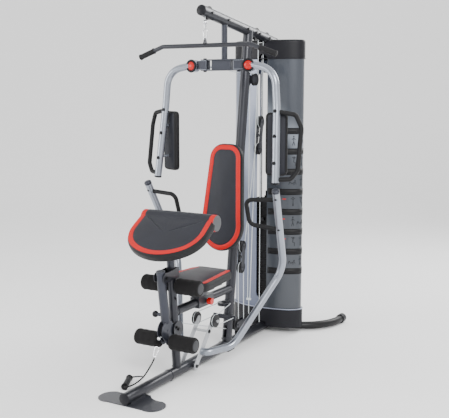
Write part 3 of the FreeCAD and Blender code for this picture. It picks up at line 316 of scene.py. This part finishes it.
def stroke(verts, faces, turn, p, q, half, lift):
    """Adds one thin bar between two points (across, up), in metres from a place turn round the tower."""
    dx, dz = q[0] - p[0], q[1] - p[1]
    span = math.hypot(dx, dz) or 1e-6
    ox, oz = -dz / span * half, dx / span * half
    arc_step = math.hypot(tower_half_width * math.cos(turn), tower_half_depth * math.sin(turn))
    start = len(verts)
    for x, z in ((p[0] + ox, p[1] + oz), (q[0] + ox, q[1] + oz), (q[0] - ox, q[1] - oz),
                 (p[0] - ox, p[1] - oz)):
        verts.append(on_shell(turn + x / arc_step, z, lift))
        verts.append(on_shell(turn + x / arc_step, z, lift - 0.0006))
    order = [0, 2, 4, 6]
    faces.append(tuple(start + i for i in reversed(order)))
    faces.append(tuple(start + i + 1 for i in order))
    for a, b in zip(order, order[1:] + order[:1]):
        faces.append((start + a, start + b, start + b + 1, start + a + 1))


# ---- Exercise chart --------------------------------------------------------------------------------------
# A chart round the front of the tower on its +X side: dark bands, and between them plain stick figures in two
# columns with a short red mark at their left. A figure is five limbs, given as (across, up) from its middle.
band_verts, band_faces, figure_verts, figure_faces, mark_verts, mark_faces = [], [], [], [], [], []
poses = [
    [((0, 0), (0, 0.026)), ((0, 0.022), (-0.012, 0.012)), ((0, 0.022), (0.012, 0.012)),
     ((0, 0), (-0.008, -0.024)), ((0, 0), (0.008, -0.024))],
    [((0, 0), (0.004, 0.024)), ((0.004, 0.022), (0.016, 0.030)), ((0.004, 0.022), (-0.010, 0.032)),
     ((0, 0), (0.014, -0.004)), ((0.014, -0.004), (0.012, -0.026))],
    [((-0.010, -0.010), (0.012, 0.002)), ((0.012, 0.002), (0.020, -0.012)),
     ((-0.010, -0.010), (-0.020, 0.006)), ((-0.020, 0.006), (-0.026, -0.014)),
     ((0.006, 0.0), (0.004, -0.018))],
    [((0, 0), (0, 0.024)), ((0, 0.020), (-0.014, 0.026)), ((0, 0.020), (0.014, 0.026)),
     ((0, 0), (-0.003, -0.024)), ((0, 0), (0.003, -0.024))]]
chart_rows = 8
chart_top = 1.328
row_pitch = 0.130
band_half = 0.020
chart_from, mark_turn, chart_to = math.radians(11), math.radians(37), math.radians(112)
figure_turns = (math.radians(57), math.radians(82))
for row in range(chart_rows):
    z = chart_top - row * row_pitch
    shell_patch(band_verts, band_faces, chart_from, chart_to, z - band_half, z + band_half, 0.0015)
    if row == chart_rows - 1:
        break
    middle = z - 0.067
    for k, turn in enumerate(figure_turns):
        limbs = poses[(row + 2 * k) % 4]
        for p, q in limbs:
            stroke(figure_verts, figure_faces, turn, (p[0], p[1] + middle),
                   (q[0], q[1] + middle), 0.0020, 0.0016)
        neck = (limbs[0][1][0], limbs[0][1][1] + middle + 0.003)
        head_top = (limbs[0][1][0], limbs[0][1][1] + middle + 0.011)
        stroke(figure_verts, figure_faces, turn, neck, head_top, 0.0040, 0.0016)
    mark_z = z - 0.046
    mark_end = 0.012 + 0.006 * (row % 2)
    stroke(mark_verts, mark_faces, mark_turn, (-0.004, mark_z), (mark_end, mark_z), 0.0030, 0.0014)
chart_dark = surface("chart_dark", (0.005, 0.005, 0.006), 0.45, bump=0.01)
chart_ink = surface("chart_ink", (0.014, 0.016, 0.020), 0.45, bump=0.01)
add_mesh("chart_bands", band_verts, band_faces, [chart_dark], "frame")
add_mesh("chart_figures", figure_verts, figure_faces, [chart_ink], "frame", smooth=False)
add_mesh("chart_marks", mark_verts, mark_faces, [red_plastic], "frame", smooth=False)


# ---- Trim rings of the tower -----------------------------------------------------------------------------
# A pale rim pressed round the tower's base and a black bead round its top.
def oval_ring(name, z, lift, half_height, mat, lean_out=0.004):
    """Rounded trim ring round the whole tower."""
    verts, faces = [], []
    count, section = 128, 10
    for k in range(count):
        turn = 2 * math.pi * k / count
        for i in range(section):
            roll = 2 * math.pi * i / section
            out = lift + lean_out * math.cos(roll)
            verts.append(((tower_half_width + out) * math.cos(turn),
                          tower_middle_y + (tower_half_depth + out) * math.sin(turn),
                          z + half_height * math.sin(roll)))
    for k in range(count):
        for i in range(section):
            a, b = k * section, ((k + 1) % count) * section
            j = (i + 1) % section
            faces.append((a + i, b + i, b + j, a + j))
    return add_mesh(name, verts, faces, [mat], "frame")


rim_light = surface("rim_light", (0.30, 0.33, 0.42), 0.30, metal=0.5, coat=0.3)
oval_ring("tower_rim", 0.162, 0.006, 0.0035, rim_light, 0.005)
oval_ring("tower_top_bead", 1.783, 0.005, 0.003, black_plastic, 0.003)


# ---- Padded vinyl ----------------------------------------------------------------------------------------
# Foam under embossed vinyl, charcoal in the middle and black at the sides and back. The seat, back and
# preacher pads have a red band between two welts, and the butterfly pads a black one. Each pad is a closed
# crowned form, built in rings from its back to the middle of its front and then inflated.
vinyl_black = leather_grain(surface("vinyl_black", (0.007, 0.007, 0.008), 0.50, mottle=0.15, sheen=0.02))
vinyl_red = leather_grain(surface("vinyl_red", (0.50, 0.004, 0.004), 0.45, mottle=0.08, sheen=0.0))
def arc(p, q, r, count):
    """Points of the circle arc from p to r through q, without the last one."""
    ax, ay, bx, by, cx, cy = *p, *q, *r
    d = 2 * (ax * (by - cy) + bx * (cy - ay) + cx * (ay - by))
    a2, b2, c2 = ax * ax + ay * ay, bx * bx + by * by, cx * cx + cy * cy
    ox = (a2 * (by - cy) + b2 * (cy - ay) + c2 * (ay - by)) / d
    oy = (a2 * (cx - bx) + b2 * (ax - cx) + c2 * (bx - ax)) / d
    t0, t1, t2 = (math.atan2(y - oy, x - ox) for x, y in (p, q, r))
    way = 1 if (t1 - t0) % (2 * math.pi) < (t2 - t0) % (2 * math.pi) else -1
    sweep = ((t2 - t0) * way) % (2 * math.pi) * way
    radius = math.hypot(ax - ox, ay - oy)
    return [(ox + radius * math.cos(t0 + sweep * k / count), oy + radius * math.sin(t0 + sweep * k / count))
            for k in range(count)]


def line(p, q, count):
    """Points of the straight run from p to q, without the last one."""
    return [(p[0] + (q[0] - p[0]) * k / count, p[1] + (q[1] - p[1]) * k / count) for k in range(count)]


def evenly(points, count):
    """The closed outline again, with points an even distance apart and its corners softened."""
    closed = points + points[:1]
    lengths = [0.0]
    for a, b in zip(closed, closed[1:]):
        lengths.append(lengths[-1] + math.hypot(b[0] - a[0], b[1] - a[1]))
    even, i = [], 0
    for k in range(count):
        want = lengths[-1] * k / count
        while lengths[i + 1] < want:
            i += 1
        part = (want - lengths[i]) / (lengths[i + 1] - lengths[i])
        even.append((closed[i][0] + (closed[i + 1][0] - closed[i][0]) * part,
                     closed[i][1] + (closed[i + 1][1] - closed[i][1]) * part))
    for _ in range(4):
        even = [((a[0] + 2 * b[0] + c[0]) / 4, (a[1] + 2 * b[1] + c[1]) / 4)
                for a, b, c in zip(even[-1:] + even[:-1], even, even[1:] + even[:1])]
    return even


def face_outwards(obj):
    """Turns the faces of a closed mesh outwards, and leaves it the one selected object."""
    bpy.ops.object.select_all(action="DESELECT")
    bpy.context.view_layer.objects.active = obj
    obj.select_set(True)
    bpy.ops.object.mode_set(mode="EDIT")
    bpy.ops.mesh.select_all(action="SELECT")
    bpy.ops.mesh.normals_make_consistent(inside=False)
    bpy.ops.object.mode_set(mode="OBJECT")


def pad(name, outline, centre, thick, crown, place, body, replaces, band=(0.010, 0.036), count=144,
        band_red=True, seed=0.0, plain=None):
    """Crowned vinyl pad: black sides and back, a welted band round the front and a charcoal middle."""
    outline = evenly(outline, count)
    inward = []
    for a, c in zip(outline[-1:] + outline[:-1], outline[1:] + outline[:1]):
        span = math.hypot(c[0] - a[0], c[1] - a[1])
        inward.append(((a[1] - c[1]) / span, (c[0] - a[0]) / span))
    area = sum(a[0] * c[1] - c[0] * a[1] for a, c in zip(outline, outline[1:] + outline[:1]))
    if area < 0:
        inward = [(-x, -y) for x, y in inward]
    for _ in range(6):
        inward = [((a[0] + 2 * b[0] + c[0]) / 4, (a[1] + 2 * b[1] + c[1]) / 4)
                  for a, b, c in zip(inward[-1:] + inward[:-1], inward, inward[1:] + inward[:1])]
    reach = min(math.hypot(p[0] - centre[0], p[1] - centre[1]) for p in outline)
    past_welt = band[1] + 0.0025
    face = thick - 0.0028
    profile = [(0.75 * reach, 0.0, 2), (0.35 * reach, 0.0, 2), (0.016, 0.0, 2), (0.006, 0.0015, 2)]
    profile += [(0.0015, 0.006, 2), (0.001, thick * 0.25, 2), (0.0, thick * 0.5, 2), (0.001, thick * 0.7, 2)]
    profile += [(0.003, thick - 0.014, 2), (0.007, thick - 0.0075, 2), (band[0] - 0.0015, thick - 0.0045, 2)]
    profile += [(band[0], thick - 0.0068, 1), (band[0] + 0.002, thick - 0.004, 1)]
    middle = (band[0] + band[1]) / 2
    profile += [(middle, thick - 0.0015 + crown * 0.10, 1),
                (band[1] - 0.002, thick - 0.003 + crown * 0.15, 1)]
    profile += [(band[1], thick - 0.0058 + crown * 0.15, 0), (past_welt, face + crown * 0.18, 0)]
    inner = 16
    for k in range(1, inner):
        t = k / inner
        inset = past_welt + (reach - band[1] - 0.012) * t
        rise = crown * (0.18 + 0.82 * math.sin(min(1.0, t * 1.5) * math.pi / 2))
        profile.append((inset, face + rise, 0))
    verts, faces, kinds = [], [], []
    for inset, height, kind in profile:
        for (x, y), (nx, ny) in zip(outline, inward):
            edge = min(inset, past_welt)
            px, py = x + nx * edge, y + ny * edge
            keep = 1 - (inset - edge) / (reach - edge)
            px, py = centre[0] + (px - centre[0]) * keep, centre[1] + (py - centre[1]) * keep
            ripple = noise.noise(Vector((px * 55 + seed, py * 55, inset * 20))) * 0.0007
            if plain and plain(x, y) and inset >= band[0] - 0.002 and height > thick * 0.8:
                height = max(height, thick - 0.0032 + crown * 0.15)
            near = math.exp(-max(0.0, inset - band[1]) / 0.02) if inset >= band[1] else 0.25
            verts.append(place @ Vector((px, py, height + ripple * (0.35 + near) * (height > 0.004))))
    rings = len(profile)
    for r in range(rings - 1):
        for k in range(count):
            n = (k + 1) % count
            faces.append((r * count + k, r * count + n, (r + 1) * count + n, (r + 1) * count + k))
            kinds.append(profile[r + 1][2] if profile[r][2] != 1 or profile[r + 1][2] == 1 else 1)
    back = len(verts)
    verts.append(place @ Vector((centre[0], centre[1], 0.0)))
    front = len(verts)
    verts.append(place @ Vector((centre[0], centre[1], face + crown)))
    for k in range(count):
        n = (k + 1) % count
        faces.append((n, k, back))
        kinds.append(2)
        faces.append(((rings - 1) * count + k, (rings - 1) * count + n, front))
        kinds.append(0)
    obj = add_mesh(name, verts, faces, [vinyl, vinyl_red if band_red else vinyl_black,
                                        vinyl_black], body)
    for i, (side, kind) in enumerate(zip(obj.data.polygons, kinds)):
        side.material_index = 0 if kind == 1 and plain and plain(*outline[i % count]) else kind
    face_outwards(obj)
    soft = [front] + [i for i in range(rings * count) if profile[i // count][0] > band[1] + 0.003]
    puff_frames = 20
    puff_limit = 0.004
    rest = [v.co.copy() for v in obj.data.vertices]
    held = obj.vertex_groups.new(name="held")
    loose = set(soft)
    held.add([i for i in range(len(verts)) if i not in loose], 1.0, "REPLACE")
    cloth = obj.modifiers.new("cloth", "CLOTH")
    cloth.settings.vertex_group_mass = "held"
    cloth.settings.use_pressure = True
    cloth.settings.uniform_pressure_force = 4.0
    cloth.settings.effector_weights.gravity = 0.0
    cloth.settings.quality = 4
    cloth.settings.tension_stiffness = 25
    cloth.settings.compression_stiffness = 25
    cloth.collision_settings.use_collision = False
    cloth.point_cache.frame_start = 1
    cloth.point_cache.frame_end = puff_frames
    for step in range(1, puff_frames + 1):
        bpy.context.scene.frame_set(step)
    puffed = obj.evaluated_get(bpy.context.evaluated_depsgraph_get()).to_mesh()
    settled = []
    for start, moved in zip(rest, puffed.vertices):
        shift = moved.co - start
        settled.append(start + shift * min(1.0, puff_limit / max(shift.length, 1e-9)))
    obj.modifiers.remove(cloth)
    bpy.context.scene.frame_set(1)
    for vertex, co in zip(obj.data.vertices, settled):
        vertex.co = co
    obj.vertex_groups.clear()
    smooth = obj.modifiers.new("smooth", "SUBSURF")
    smooth.levels = 1
    bpy.ops.object.modifier_apply(modifier="smooth")
    obj.data.polygons.foreach_set("use_smooth", [True] * len(obj.data.polygons))
    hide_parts(replaces)
    return obj


def frame_of(origin, across, up, out):
    """Matrix from a pad's own axes to the row frame."""
    return Matrix.Translation(origin) @ Matrix((across, up, out)).transposed().to_4x4()


lean = math.radians(7.97)
UP = Vector((0, math.sin(lean), math.cos(lean)))
FORWARD = Vector((0, -math.cos(lean), math.sin(lean)))
RIGHT = Vector((1, 0, 0))
back_outline = (arc((-0.139, 0.190), (-0.094, 0.040), (0, 0), 24)
                + arc((0, 0), (0.094, 0.040), (0.139, 0.190), 24)
                + line((0.139, 0.190), (0.112, 0.548), 30)
                + arc((0.112, 0.548), (0.076, 0.628), (0, 0.642), 18)
                + arc((0, 0.642), (-0.076, 0.628), (-0.112, 0.548), 18)
                + line((-0.112, 0.548), (-0.139, 0.190), 30))
pad("back_cushion", back_outline, (0, 0.30), 0.050, 0.009,
    frame_of(Vector((0, -0.0538, 0.6274)), RIGHT, UP, FORWARD),
    "frame", "back_pad")

seat_outline = (arc((-0.130, -0.180), (-0.114, -0.147), (-0.080, -0.135), 8)
                + line((-0.080, -0.135), (0.080, -0.135), 16)
                + arc((0.080, -0.135), (0.114, -0.147), (0.130, -0.180), 8)
                + line((0.130, -0.180), (0.165, -0.485), 30)
                + arc((0.165, -0.485), (0.148, -0.528), (0.105, -0.545), 8)
                + line((0.105, -0.545), (-0.105, -0.545), 20)
                + arc((-0.105, -0.545), (-0.148, -0.528), (-0.165, -0.485), 8)
                + line((-0.165, -0.485), (-0.130, -0.180), 30))
pad("seat_pad", seat_outline, (0, -0.335), 0.055, 0.007,
    frame_of(Vector((0, 0, 0.490)), RIGHT, Vector((0, 1, 0)), Vector((0, 0, 1))), "seat",
    "seat_cushion", seed=3.0,
    plain=lambda x, y: y > -0.150 or y < -0.525)

slope = math.radians(33.5)
DOWN = Vector((0, -math.cos(slope), -math.sin(slope)))
PAD_OUT = Vector((0, -math.sin(slope), math.cos(slope)))
rear_edge = Vector((0, -0.540, 0.918))
preacher_outline = (line((-0.235, -0.016), (-0.242, 0.110), 20)
                    + arc((-0.242, 0.110), (-0.218, 0.212), (-0.149, 0.279), 24)
                    + arc((-0.149, 0.279), (0, 0.319), (0.149, 0.279), 40)
                    + arc((0.149, 0.279), (0.218, 0.212), (0.242, 0.110), 24)
                    + line((0.242, 0.110), (0.235, -0.016), 20) + line((0.235, -0.016), (-0.235, -0.016), 60))
pad("preacher_cushion", preacher_outline, (0, 0.15), 0.056, 0.003,
    frame_of(rear_edge - PAD_OUT * 0.060, -RIGHT, DOWN, PAD_OUT), "preacher", "preacher_pad", seed=7.0,
    plain=lambda x, y: y < -0.004)

fly_turn = math.radians(22.4)
fly_corner = 0.022
fly_half_width, fly_half_height = 0.0635, 0.180
fly_outline = []
for sx, sy, start in ((1, 1, 0), (-1, 1, 90), (-1, -1, 180), (1, -1, 270)):
    for k in range(8):
        a = math.radians(start + 90 * k / 8)
        fly_outline.append((sx * (fly_half_width - fly_corner) + fly_corner * math.cos(a),
                            sy * (fly_half_height - fly_corner) + fly_corner * math.sin(a)))
for side, name in ((-1, "left"), (1, "right")):
    across = Vector((math.cos(fly_turn), math.sin(fly_turn) * side, 0))
    out = Vector((math.sin(fly_turn) * side, -math.cos(fly_turn), 0))
    origin = Vector((side * 0.357, -0.057, 1.280)) - out * 0.022
    pad("fly_cushion_" + name, fly_outline, (0, 0), 0.041, 0.004,
        frame_of(origin, across, Vector((0, 0, 1)), out), "fly_" + name, "fly_pad_" + name,
        band=(0.006, 0.012), band_red=False, seed=11.0 + side)


# ---- Rolled rear edge of the preacher pad ----------------------------------------------------------------
# A round foam roll under the same vinyl, with stitched grey ends and red piping at each end.
def axes_about(axis):
    """Unit vectors along an axis and in two directions across it."""
    along = Vector(axis).normalized()
    side = along.cross(Vector((0, 0, 1)) if abs(along.z) < 0.9 else Vector((1, 0, 0))).normalized()
    return along, side, along.cross(side)


def spun(name, profile, axis_point, axis, body, mats, kinds=None, count=64, ripple=0.0, seed=0.0):
    """Closed body of revolution; its profile is (along, radius) pairs from one end to the other."""
    along, side, other = axes_about(axis)
    verts, faces, marks = [], [], []
    for t, r in profile:
        for k in range(count):
            a = 2 * math.pi * k / count
            way = side * math.cos(a) + other * math.sin(a)
            swell = ripple * noise.noise(Vector((t * 40 + seed, math.cos(a) * 2, math.sin(a) * 2)))
            verts.append(Vector(axis_point) + along * t + way * (r + (swell if r > 0.005 else 0)))
    for i in range(len(profile) - 1):
        for k in range(count):
            n = (k + 1) % count
            faces.append((i * count + k, (i + 1) * count + k, (i + 1) * count + n, i * count + n))
            marks.append(kinds[i] if kinds else 0)
    first, last = len(verts), len(verts) + 1
    verts.append(Vector(axis_point) + along * profile[0][0])
    verts.append(Vector(axis_point) + along * profile[-1][0])
    top = (len(profile) - 1) * count
    for k in range(count):
        n = (k + 1) % count
        faces.append((first, k, n))
        faces.append((last, top + n, top + k))
        marks += [kinds[0] if kinds else 0, kinds[-1] if kinds else 0]
    obj = add_mesh(name, verts, faces, mats, body)
    for face, mark in zip(obj.data.polygons, marks):
        face.material_index = mark
    face_outwards(obj)
    return obj


roll_axis = rear_edge - PAD_OUT * 0.046
roll_half = 0.237
piping_end = 0.031
roll_steps = 60
roll_end = [(-roll_half, 0.030), (-roll_half, 0.039), (-roll_half + 0.003, 0.0440),
            (-roll_half + 0.008, 0.0455),
            (-roll_half + 0.026, 0.0455), (-roll_half + 0.028, 0.0442), (-roll_half + piping_end, 0.0450)]
roll_middle = [(-roll_half + piping_end + (2 * roll_half - 2 * piping_end) * k / roll_steps,
                0.0462 + 0.0008 * math.sin(math.pi * k / roll_steps)) for k in range(1, roll_steps)]
profile = roll_end + roll_middle + [(-t, r) for t, r in reversed(roll_end)]
kinds = [2, 2, 1, 1, 1, 1] + [0] * 60 + [1, 1, 1, 1, 2, 2]
vinyl_grey = leather_grain(surface("vinyl_grey", (0.085, 0.09, 0.095), 0.48, mottle=0.08))
roll = spun("preacher_roll", profile, roll_axis, RIGHT, "preacher", [vinyl, vinyl_red, vinyl_grey], kinds,
            ripple=0.0009)
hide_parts("preacher_pad")

# ---- Foam rollers ----------------------------------------------------------------------------------------
# Soft black foam sleeves slid on steel tubes, with rounded lips and slightly uneven sides. Domed grey plastic
# caps are pushed in at their outer ends.
cap_grey = surface("cap_grey", (0.035, 0.036, 0.040), 0.42, bump=0.05)
for body, name, half in (("thigh", "thigh_rollers", 0.184), ("shin", "shin_rollers", 0.190)):
    low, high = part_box(name)
    middle = (low + high) / 2
    middle.x = 0
    for side, word in ((-1, "left"), (1, "right")):
        inner, outer = 0.036, half - 0.001
        profile = [(inner, 0.014), (inner, 0.034), (inner + 0.002, 0.040), (inner + 0.008, 0.0430)]
        profile += [(inner + 0.008 + (outer - inner - 0.016) * k / 30, 0.0433 + 0.0005 * math.sin(k * 0.7))
                    for k in range(1, 30)]
        profile += [(outer - 0.008, 0.0430), (outer - 0.002, 0.040), (outer, 0.034), (outer, 0.014)]
        sleeve = spun("foam_%s_%s" % (body, word), [(t * side, r) for t, r in profile], middle, RIGHT, body,
                      [foam], ripple=0.0007, seed=side * 3.0 + half)
        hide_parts(name)
        lid = [(outer - 0.003, 0.030), (outer - 0.0005, 0.030), (outer + 0.0008, 0.0285),
               (outer + 0.0015, 0.020), (outer + 0.0018, 0.004)]
        spun("cap_%s_%s" % (body, word), [(t * side, r) for t, r in lid], middle, RIGHT, body, [cap_grey])

# ---- Lat bar grips ---------------------------------------------------------------------------------------
# Moulded rubber sleeves on the bent ends of the lat bar, with finger ridges and a raised collar at each end.
ridge_steps = 60
ridge_from = 0.070
for side in (-1, 1):
    start = Vector((side * 0.286, -0.245, 1.831))
    end = Vector((side * 0.440, -0.245, 1.775))
    length = (end - start).length
    profile = [(0.0625, 0.0135), (0.063, 0.0172), (0.066, 0.0176), (0.069, 0.0155)]
    for k in range(ridge_steps + 1):
        t = ridge_from + (length - 0.006 - ridge_from) * k / ridge_steps
        profile.append((t, 0.0152 + 0.0005 * math.sin(k * math.pi / 2)))
    profile += [(length - 0.004, 0.0172), (length + 0.002, 0.0176), (length + 0.0045, 0.0150),
                (length + 0.0052, 0.006)]
    sleeve = spun("lat_grip_" + ("left" if side < 0 else "right"), profile, start, end
                  - start, "lat", [rubber],
                  count=40)
    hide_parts("lat_grips")

# ---- Butterfly hubs --------------------------------------------------------------------------------------
# A red plastic dome in a black plastic ring, on the front of the joint at the top of each butterfly arm.
def mirrored(point, side):
    """The point on the machine's +X side, or its mirror image."""
    return Vector((side * point[0], point[1], point[2]))


toe = math.radians(10)
hub_ring = [(0.001, 0.026), (0.0020, 0.0372), (0.005, 0.0387), (0.010, 0.0377), (0.0125, 0.0330),
            (0.011, 0.0275), (0.003, 0.0260)]
hub_dome = [(0.003, 0.0262)] + [(0.004 + 0.0125 * math.sin(math.radians(a)),
                                 0.0262 * math.cos(math.radians(a)) + 0.0003) for a in range(0, 90, 9)]
for side, word in ((-1, "left"), (1, "right")):
    hub = mirrored((0.189, -0.085, 1.725), side)
    out = Vector((side * math.sin(toe), -math.cos(toe), 0))
    spun("hub_ring_" + word, hub_ring, hub, out, "fly_" + word, [black_plastic])
    spun("hub_dome_" + word, hub_dome, hub, out, "fly_" + word, [red_plastic])


# ---- Hex bolts -------------------------------------------------------------------------------------------
# Black steel bolts with washers, on the silver arms, the link plates and the front post.
def hex_bolt(name, at, out, body, mat, across=0.0085, height=0.005):
    """Hex head on a washer, chamfered on top."""
    along = Vector(out).normalized()
    side = along.cross(Vector((0.3, 0.5, 0.8))).normalized()
    other = along.cross(side)
    verts, faces = [], []
    rows = [(0.0, across * 1.35, 24), (0.0012, across * 1.35, 24), (0.0012, across, 6), (height, across, 6),
            (height + 0.0012, across * 0.82, 6)]
    for t, r, sides in rows:
        for k in range(24):
            a = 2 * math.pi * k / 24
            grow = 1.0
            if sides == 6:
                local = (a % (math.pi / 3)) - math.pi / 6
                grow = math.cos(math.pi / 6) / math.cos(local)
            verts.append(Vector(at) + along * t + (side * math.cos(a) + other * math.sin(a)) * r * grow)
    for i in range(len(rows) - 1):
        for k in range(24):
            n = (k + 1) % 24
            faces.append((i * 24 + k, i * 24 + n, (i + 1) * 24 + n, (i + 1) * 24 + k))
    faces.append(tuple(reversed(range(24))))
    faces.append(tuple(range((len(rows) - 1) * 24, len(rows) * 24)))
    return add_mesh(name, verts, faces, [mat], body, smooth=False)


fly_bolts = ((0.3738, -0.0943, 1.468), (0.3818, -0.1129, 1.329), (0.3904, -0.1328, 1.180))
press_arm_shoulder = (0.370, 0.025, 0.548)
press_arm_head = (0.430, -0.210, 1.035)
for side, word in ((-1, "left"), (1, "right")):
    for k, (x, y, z) in enumerate(fly_bolts):
        hex_bolt("fly_bolt_%s_%d" % (word, k), (side * x, y - 0.0208, z), (0, -1, 0),
                 "fly_" + word, black_bolt)
    for k, z in enumerate((0.985, 0.800)):
        part = (z - press_arm_shoulder[2]) / (press_arm_head[2] - press_arm_shoulder[2])
        x, y = (low + (high - low) * part for low, high in zip(press_arm_shoulder[:2], press_arm_head[:2]))
        hex_bolt("press_bolt_%s_%d" % (word, k), (side * (x + 0.0045), y - 0.0200, z),
                 (side * 0.22, -1, -0.4),
                 "press", black_bolt, 0.007, 0.004)
    hex_bolt("link_bolt_" + word, (side * 0.0511, -0.295, 0.200), (side, 0, 0), "press",
             black_bolt, 0.009, 0.006)
for k, (y, z) in enumerate(((-0.609, 0.463), (-0.600, 0.300))):
    hex_bolt("post_bolt_%d" % k, (0.0300, y, z), (1, 0, 0), "frame", black_bolt, 0.006, 0.004)


# ---- Knuckle covers, press arm caps and butterfly tube plugs ---------------------------------------------
# Dark painted sleeves on the butterfly knuckles, domed dark caps on the tops of the press arms, and black
# plastic plugs in the lower ends of the butterfly tubes.
knuckle_size = (0.0655, 0.0475, 0.0530)
fly_tube_top = (0.372, -0.090, 1.500)
fly_tube_foot = (0.397, -0.148, 1.066)
press_cap = [(-0.012, 0.0214), (-0.011, 0.0222), (0.0, 0.0224)]
press_cap += [(0.0105 * math.sin(math.radians(a)), 0.0222 * math.cos(math.radians(a)) + 0.0003)
              for a in range(10, 90, 10)]
fly_plug = [(-0.004, 0.0214), (-0.0035, 0.0222), (0.003, 0.0220), (0.006, 0.0150), (0.007, 0.004)]
for side, word in ((-1, "left"), (1, "right")):
    bpy.ops.object.select_all(action="DESELECT")
    bpy.ops.mesh.primitive_cube_add(size=1, location=(side * 0.1230, -0.0610, 1.7290))
    sleeve = bpy.context.object
    sleeve.name = "knuckle_cover_" + word
    sleeve.scale = knuckle_size
    bpy.ops.object.transform_apply(location=True, rotation=True, scale=True)
    bevel = sleeve.modifiers.new("edge", "BEVEL")
    bevel.width = 0.004
    bevel.segments = 3
    bpy.ops.object.modifier_apply(modifier="edge")
    sleeve.data.materials.append(slate)
    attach(sleeve, "fly_" + word)
    head = mirrored(press_arm_head, side)
    spun("press_cap_" + word, press_cap, head, head - mirrored(press_arm_shoulder, side),
         "press", [slate], count=40)
    foot = mirrored(fly_tube_foot, side)
    spun("fly_plug_" + word, fly_plug, foot, foot - mirrored(fly_tube_top, side), "fly_" + word,
         [black_plastic], count=40)


# ---- Weld beads ------------------------------------------------------------------------------------------
# Uneven rings of weld, painted over, where the frame's tubes join.
def weld(name, centre, axis, radius, body, mat, thick=0.003, squash=1.0):
    """Uneven bead of weld round a tube."""
    along, side, other = axes_about(axis)
    verts, faces = [], []
    count, section = 96, 8
    for k in range(count):
        a = 2 * math.pi * k / count
        way = side * math.cos(a) + other * math.sin(a)
        bead = thick * (1 + 0.22 * math.sin(k * 2.1))
        for i in range(section):
            b = 2 * math.pi * i / section
            verts.append(Vector(centre) + way * (radius + bead * math.cos(b))
                         + along * bead * math.sin(b) * squash)
    for k in range(count):
        for i in range(section):
            a, b = k * section, ((k + 1) % count) * section
            j = (i + 1) % section
            faces.append((a + i, a + j, b + j, b + i))
    return add_mesh(name, verts, faces, [mat], body)


weld("weld_beam_front", (0, -0.640, 0.035), (0, 1, 0), 0.0302, "frame", charcoal)
weld("weld_beam_rear", (0, -0.060, 0.035), (0, 1, 0), 0.0302, "frame", charcoal)
weld("weld_post", (0, -0.561, 0.066), (0, -0.08, 1), 0.0242, "frame", charcoal)
weld("weld_seat_front", (0, -0.561, 0.380), (0, 1, 0), 0.0252, "frame", charcoal)

# ---- Lock knob on the leg lever --------------------------------------------------------------------------
# A black plastic ball grip pressed on the pull pin.
grip = [(-0.002, 0.008)] + [
    (0.016 - 0.017 * math.cos(math.radians(a)), 0.017 * math.sin(math.radians(a)) + 0.001)
    for a in range(25, 180, 12)]
spun("lever_knob", grip, (-0.046, -0.672, 0.381), (-1, 0, 0), "lever", [black_plastic], count=40)

# ---- Floor, light and backdrop ---------------------------------------------------------------------------
# A pale sheet on the floor that bends up into a pale backdrop behind the machine, lit by wide soft lights.
floor_front, floor_back = -14.0, 5.0
bend_radius = 4.0
backdrop_height = 16.0
half_sheet = 22.0
sheet_below_floor = 0.0005
rows = [(floor_front, 0.0), (floor_back, 0.0)]
rows += [(floor_back + bend_radius * math.sin(math.radians(t)), bend_radius
          - bend_radius * math.cos(math.radians(t)))
         for t in range(6, 91, 6)]
rows += [(floor_back + bend_radius, backdrop_height)]
sheet_turn = math.radians(camera_turn)
sweep_verts = []
for far, height in rows:
    for across in (-half_sheet, half_sheet):
        sweep_verts.append((across * math.cos(sheet_turn) - far * math.sin(sheet_turn),
                            across * math.sin(sheet_turn) + far * math.cos(sheet_turn),
                            height - sheet_below_floor))
sweep_faces = [(2 * k, 2 * k + 1, 2 * k + 3, 2 * k + 2) for k in range(len(rows) - 1)]
sweep_mesh = bpy.data.meshes.new("backdrop")
sweep_mesh.from_pydata(sweep_verts, [], sweep_faces)
sweep_mesh.polygons.foreach_set("use_smooth", [True] * len(sweep_mesh.polygons))
backdrop = bpy.data.objects.new("backdrop", sweep_mesh)
bpy.context.scene.collection.objects.link(backdrop)
sweep_mesh.materials.append(surface("floor_pale", (0.93, 0.93, 0.93), 0.70, mottle=0.005,
                                    mottle_scale=1.0, bump=0.0))
world = bpy.data.worlds.new("studio")
bpy.context.scene.world = world
world.use_nodes = True
world.node_tree.nodes["Background"].inputs["Color"].default_value = (1.0, 1.0, 1.0, 1)
world.node_tree.nodes["Background"].inputs["Strength"].default_value = 1.35
for name, place, target, size, power in (
        ("key", (3.2, -3.4, 3.8), (0, -0.1, 0.9), 2.0, 210),
        ("fill", (-3.4, -3.0, 2.2), (0, -0.1, 0.9), 2.2, 80),
        ("rim", (1.5, 3.4, 3.2), (0, 0.2, 1.0), 2.0, 130)):
    light_data = bpy.data.lights.new(name, "AREA")
    light_data.size = size
    light_data.energy = power
    light = bpy.data.objects.new(name, light_data)
    bpy.context.scene.collection.objects.link(light)
    light.location = place
    light.rotation_euler = (Vector(target) - Vector(place)).to_track_quat("-Z", "Y").to_euler()
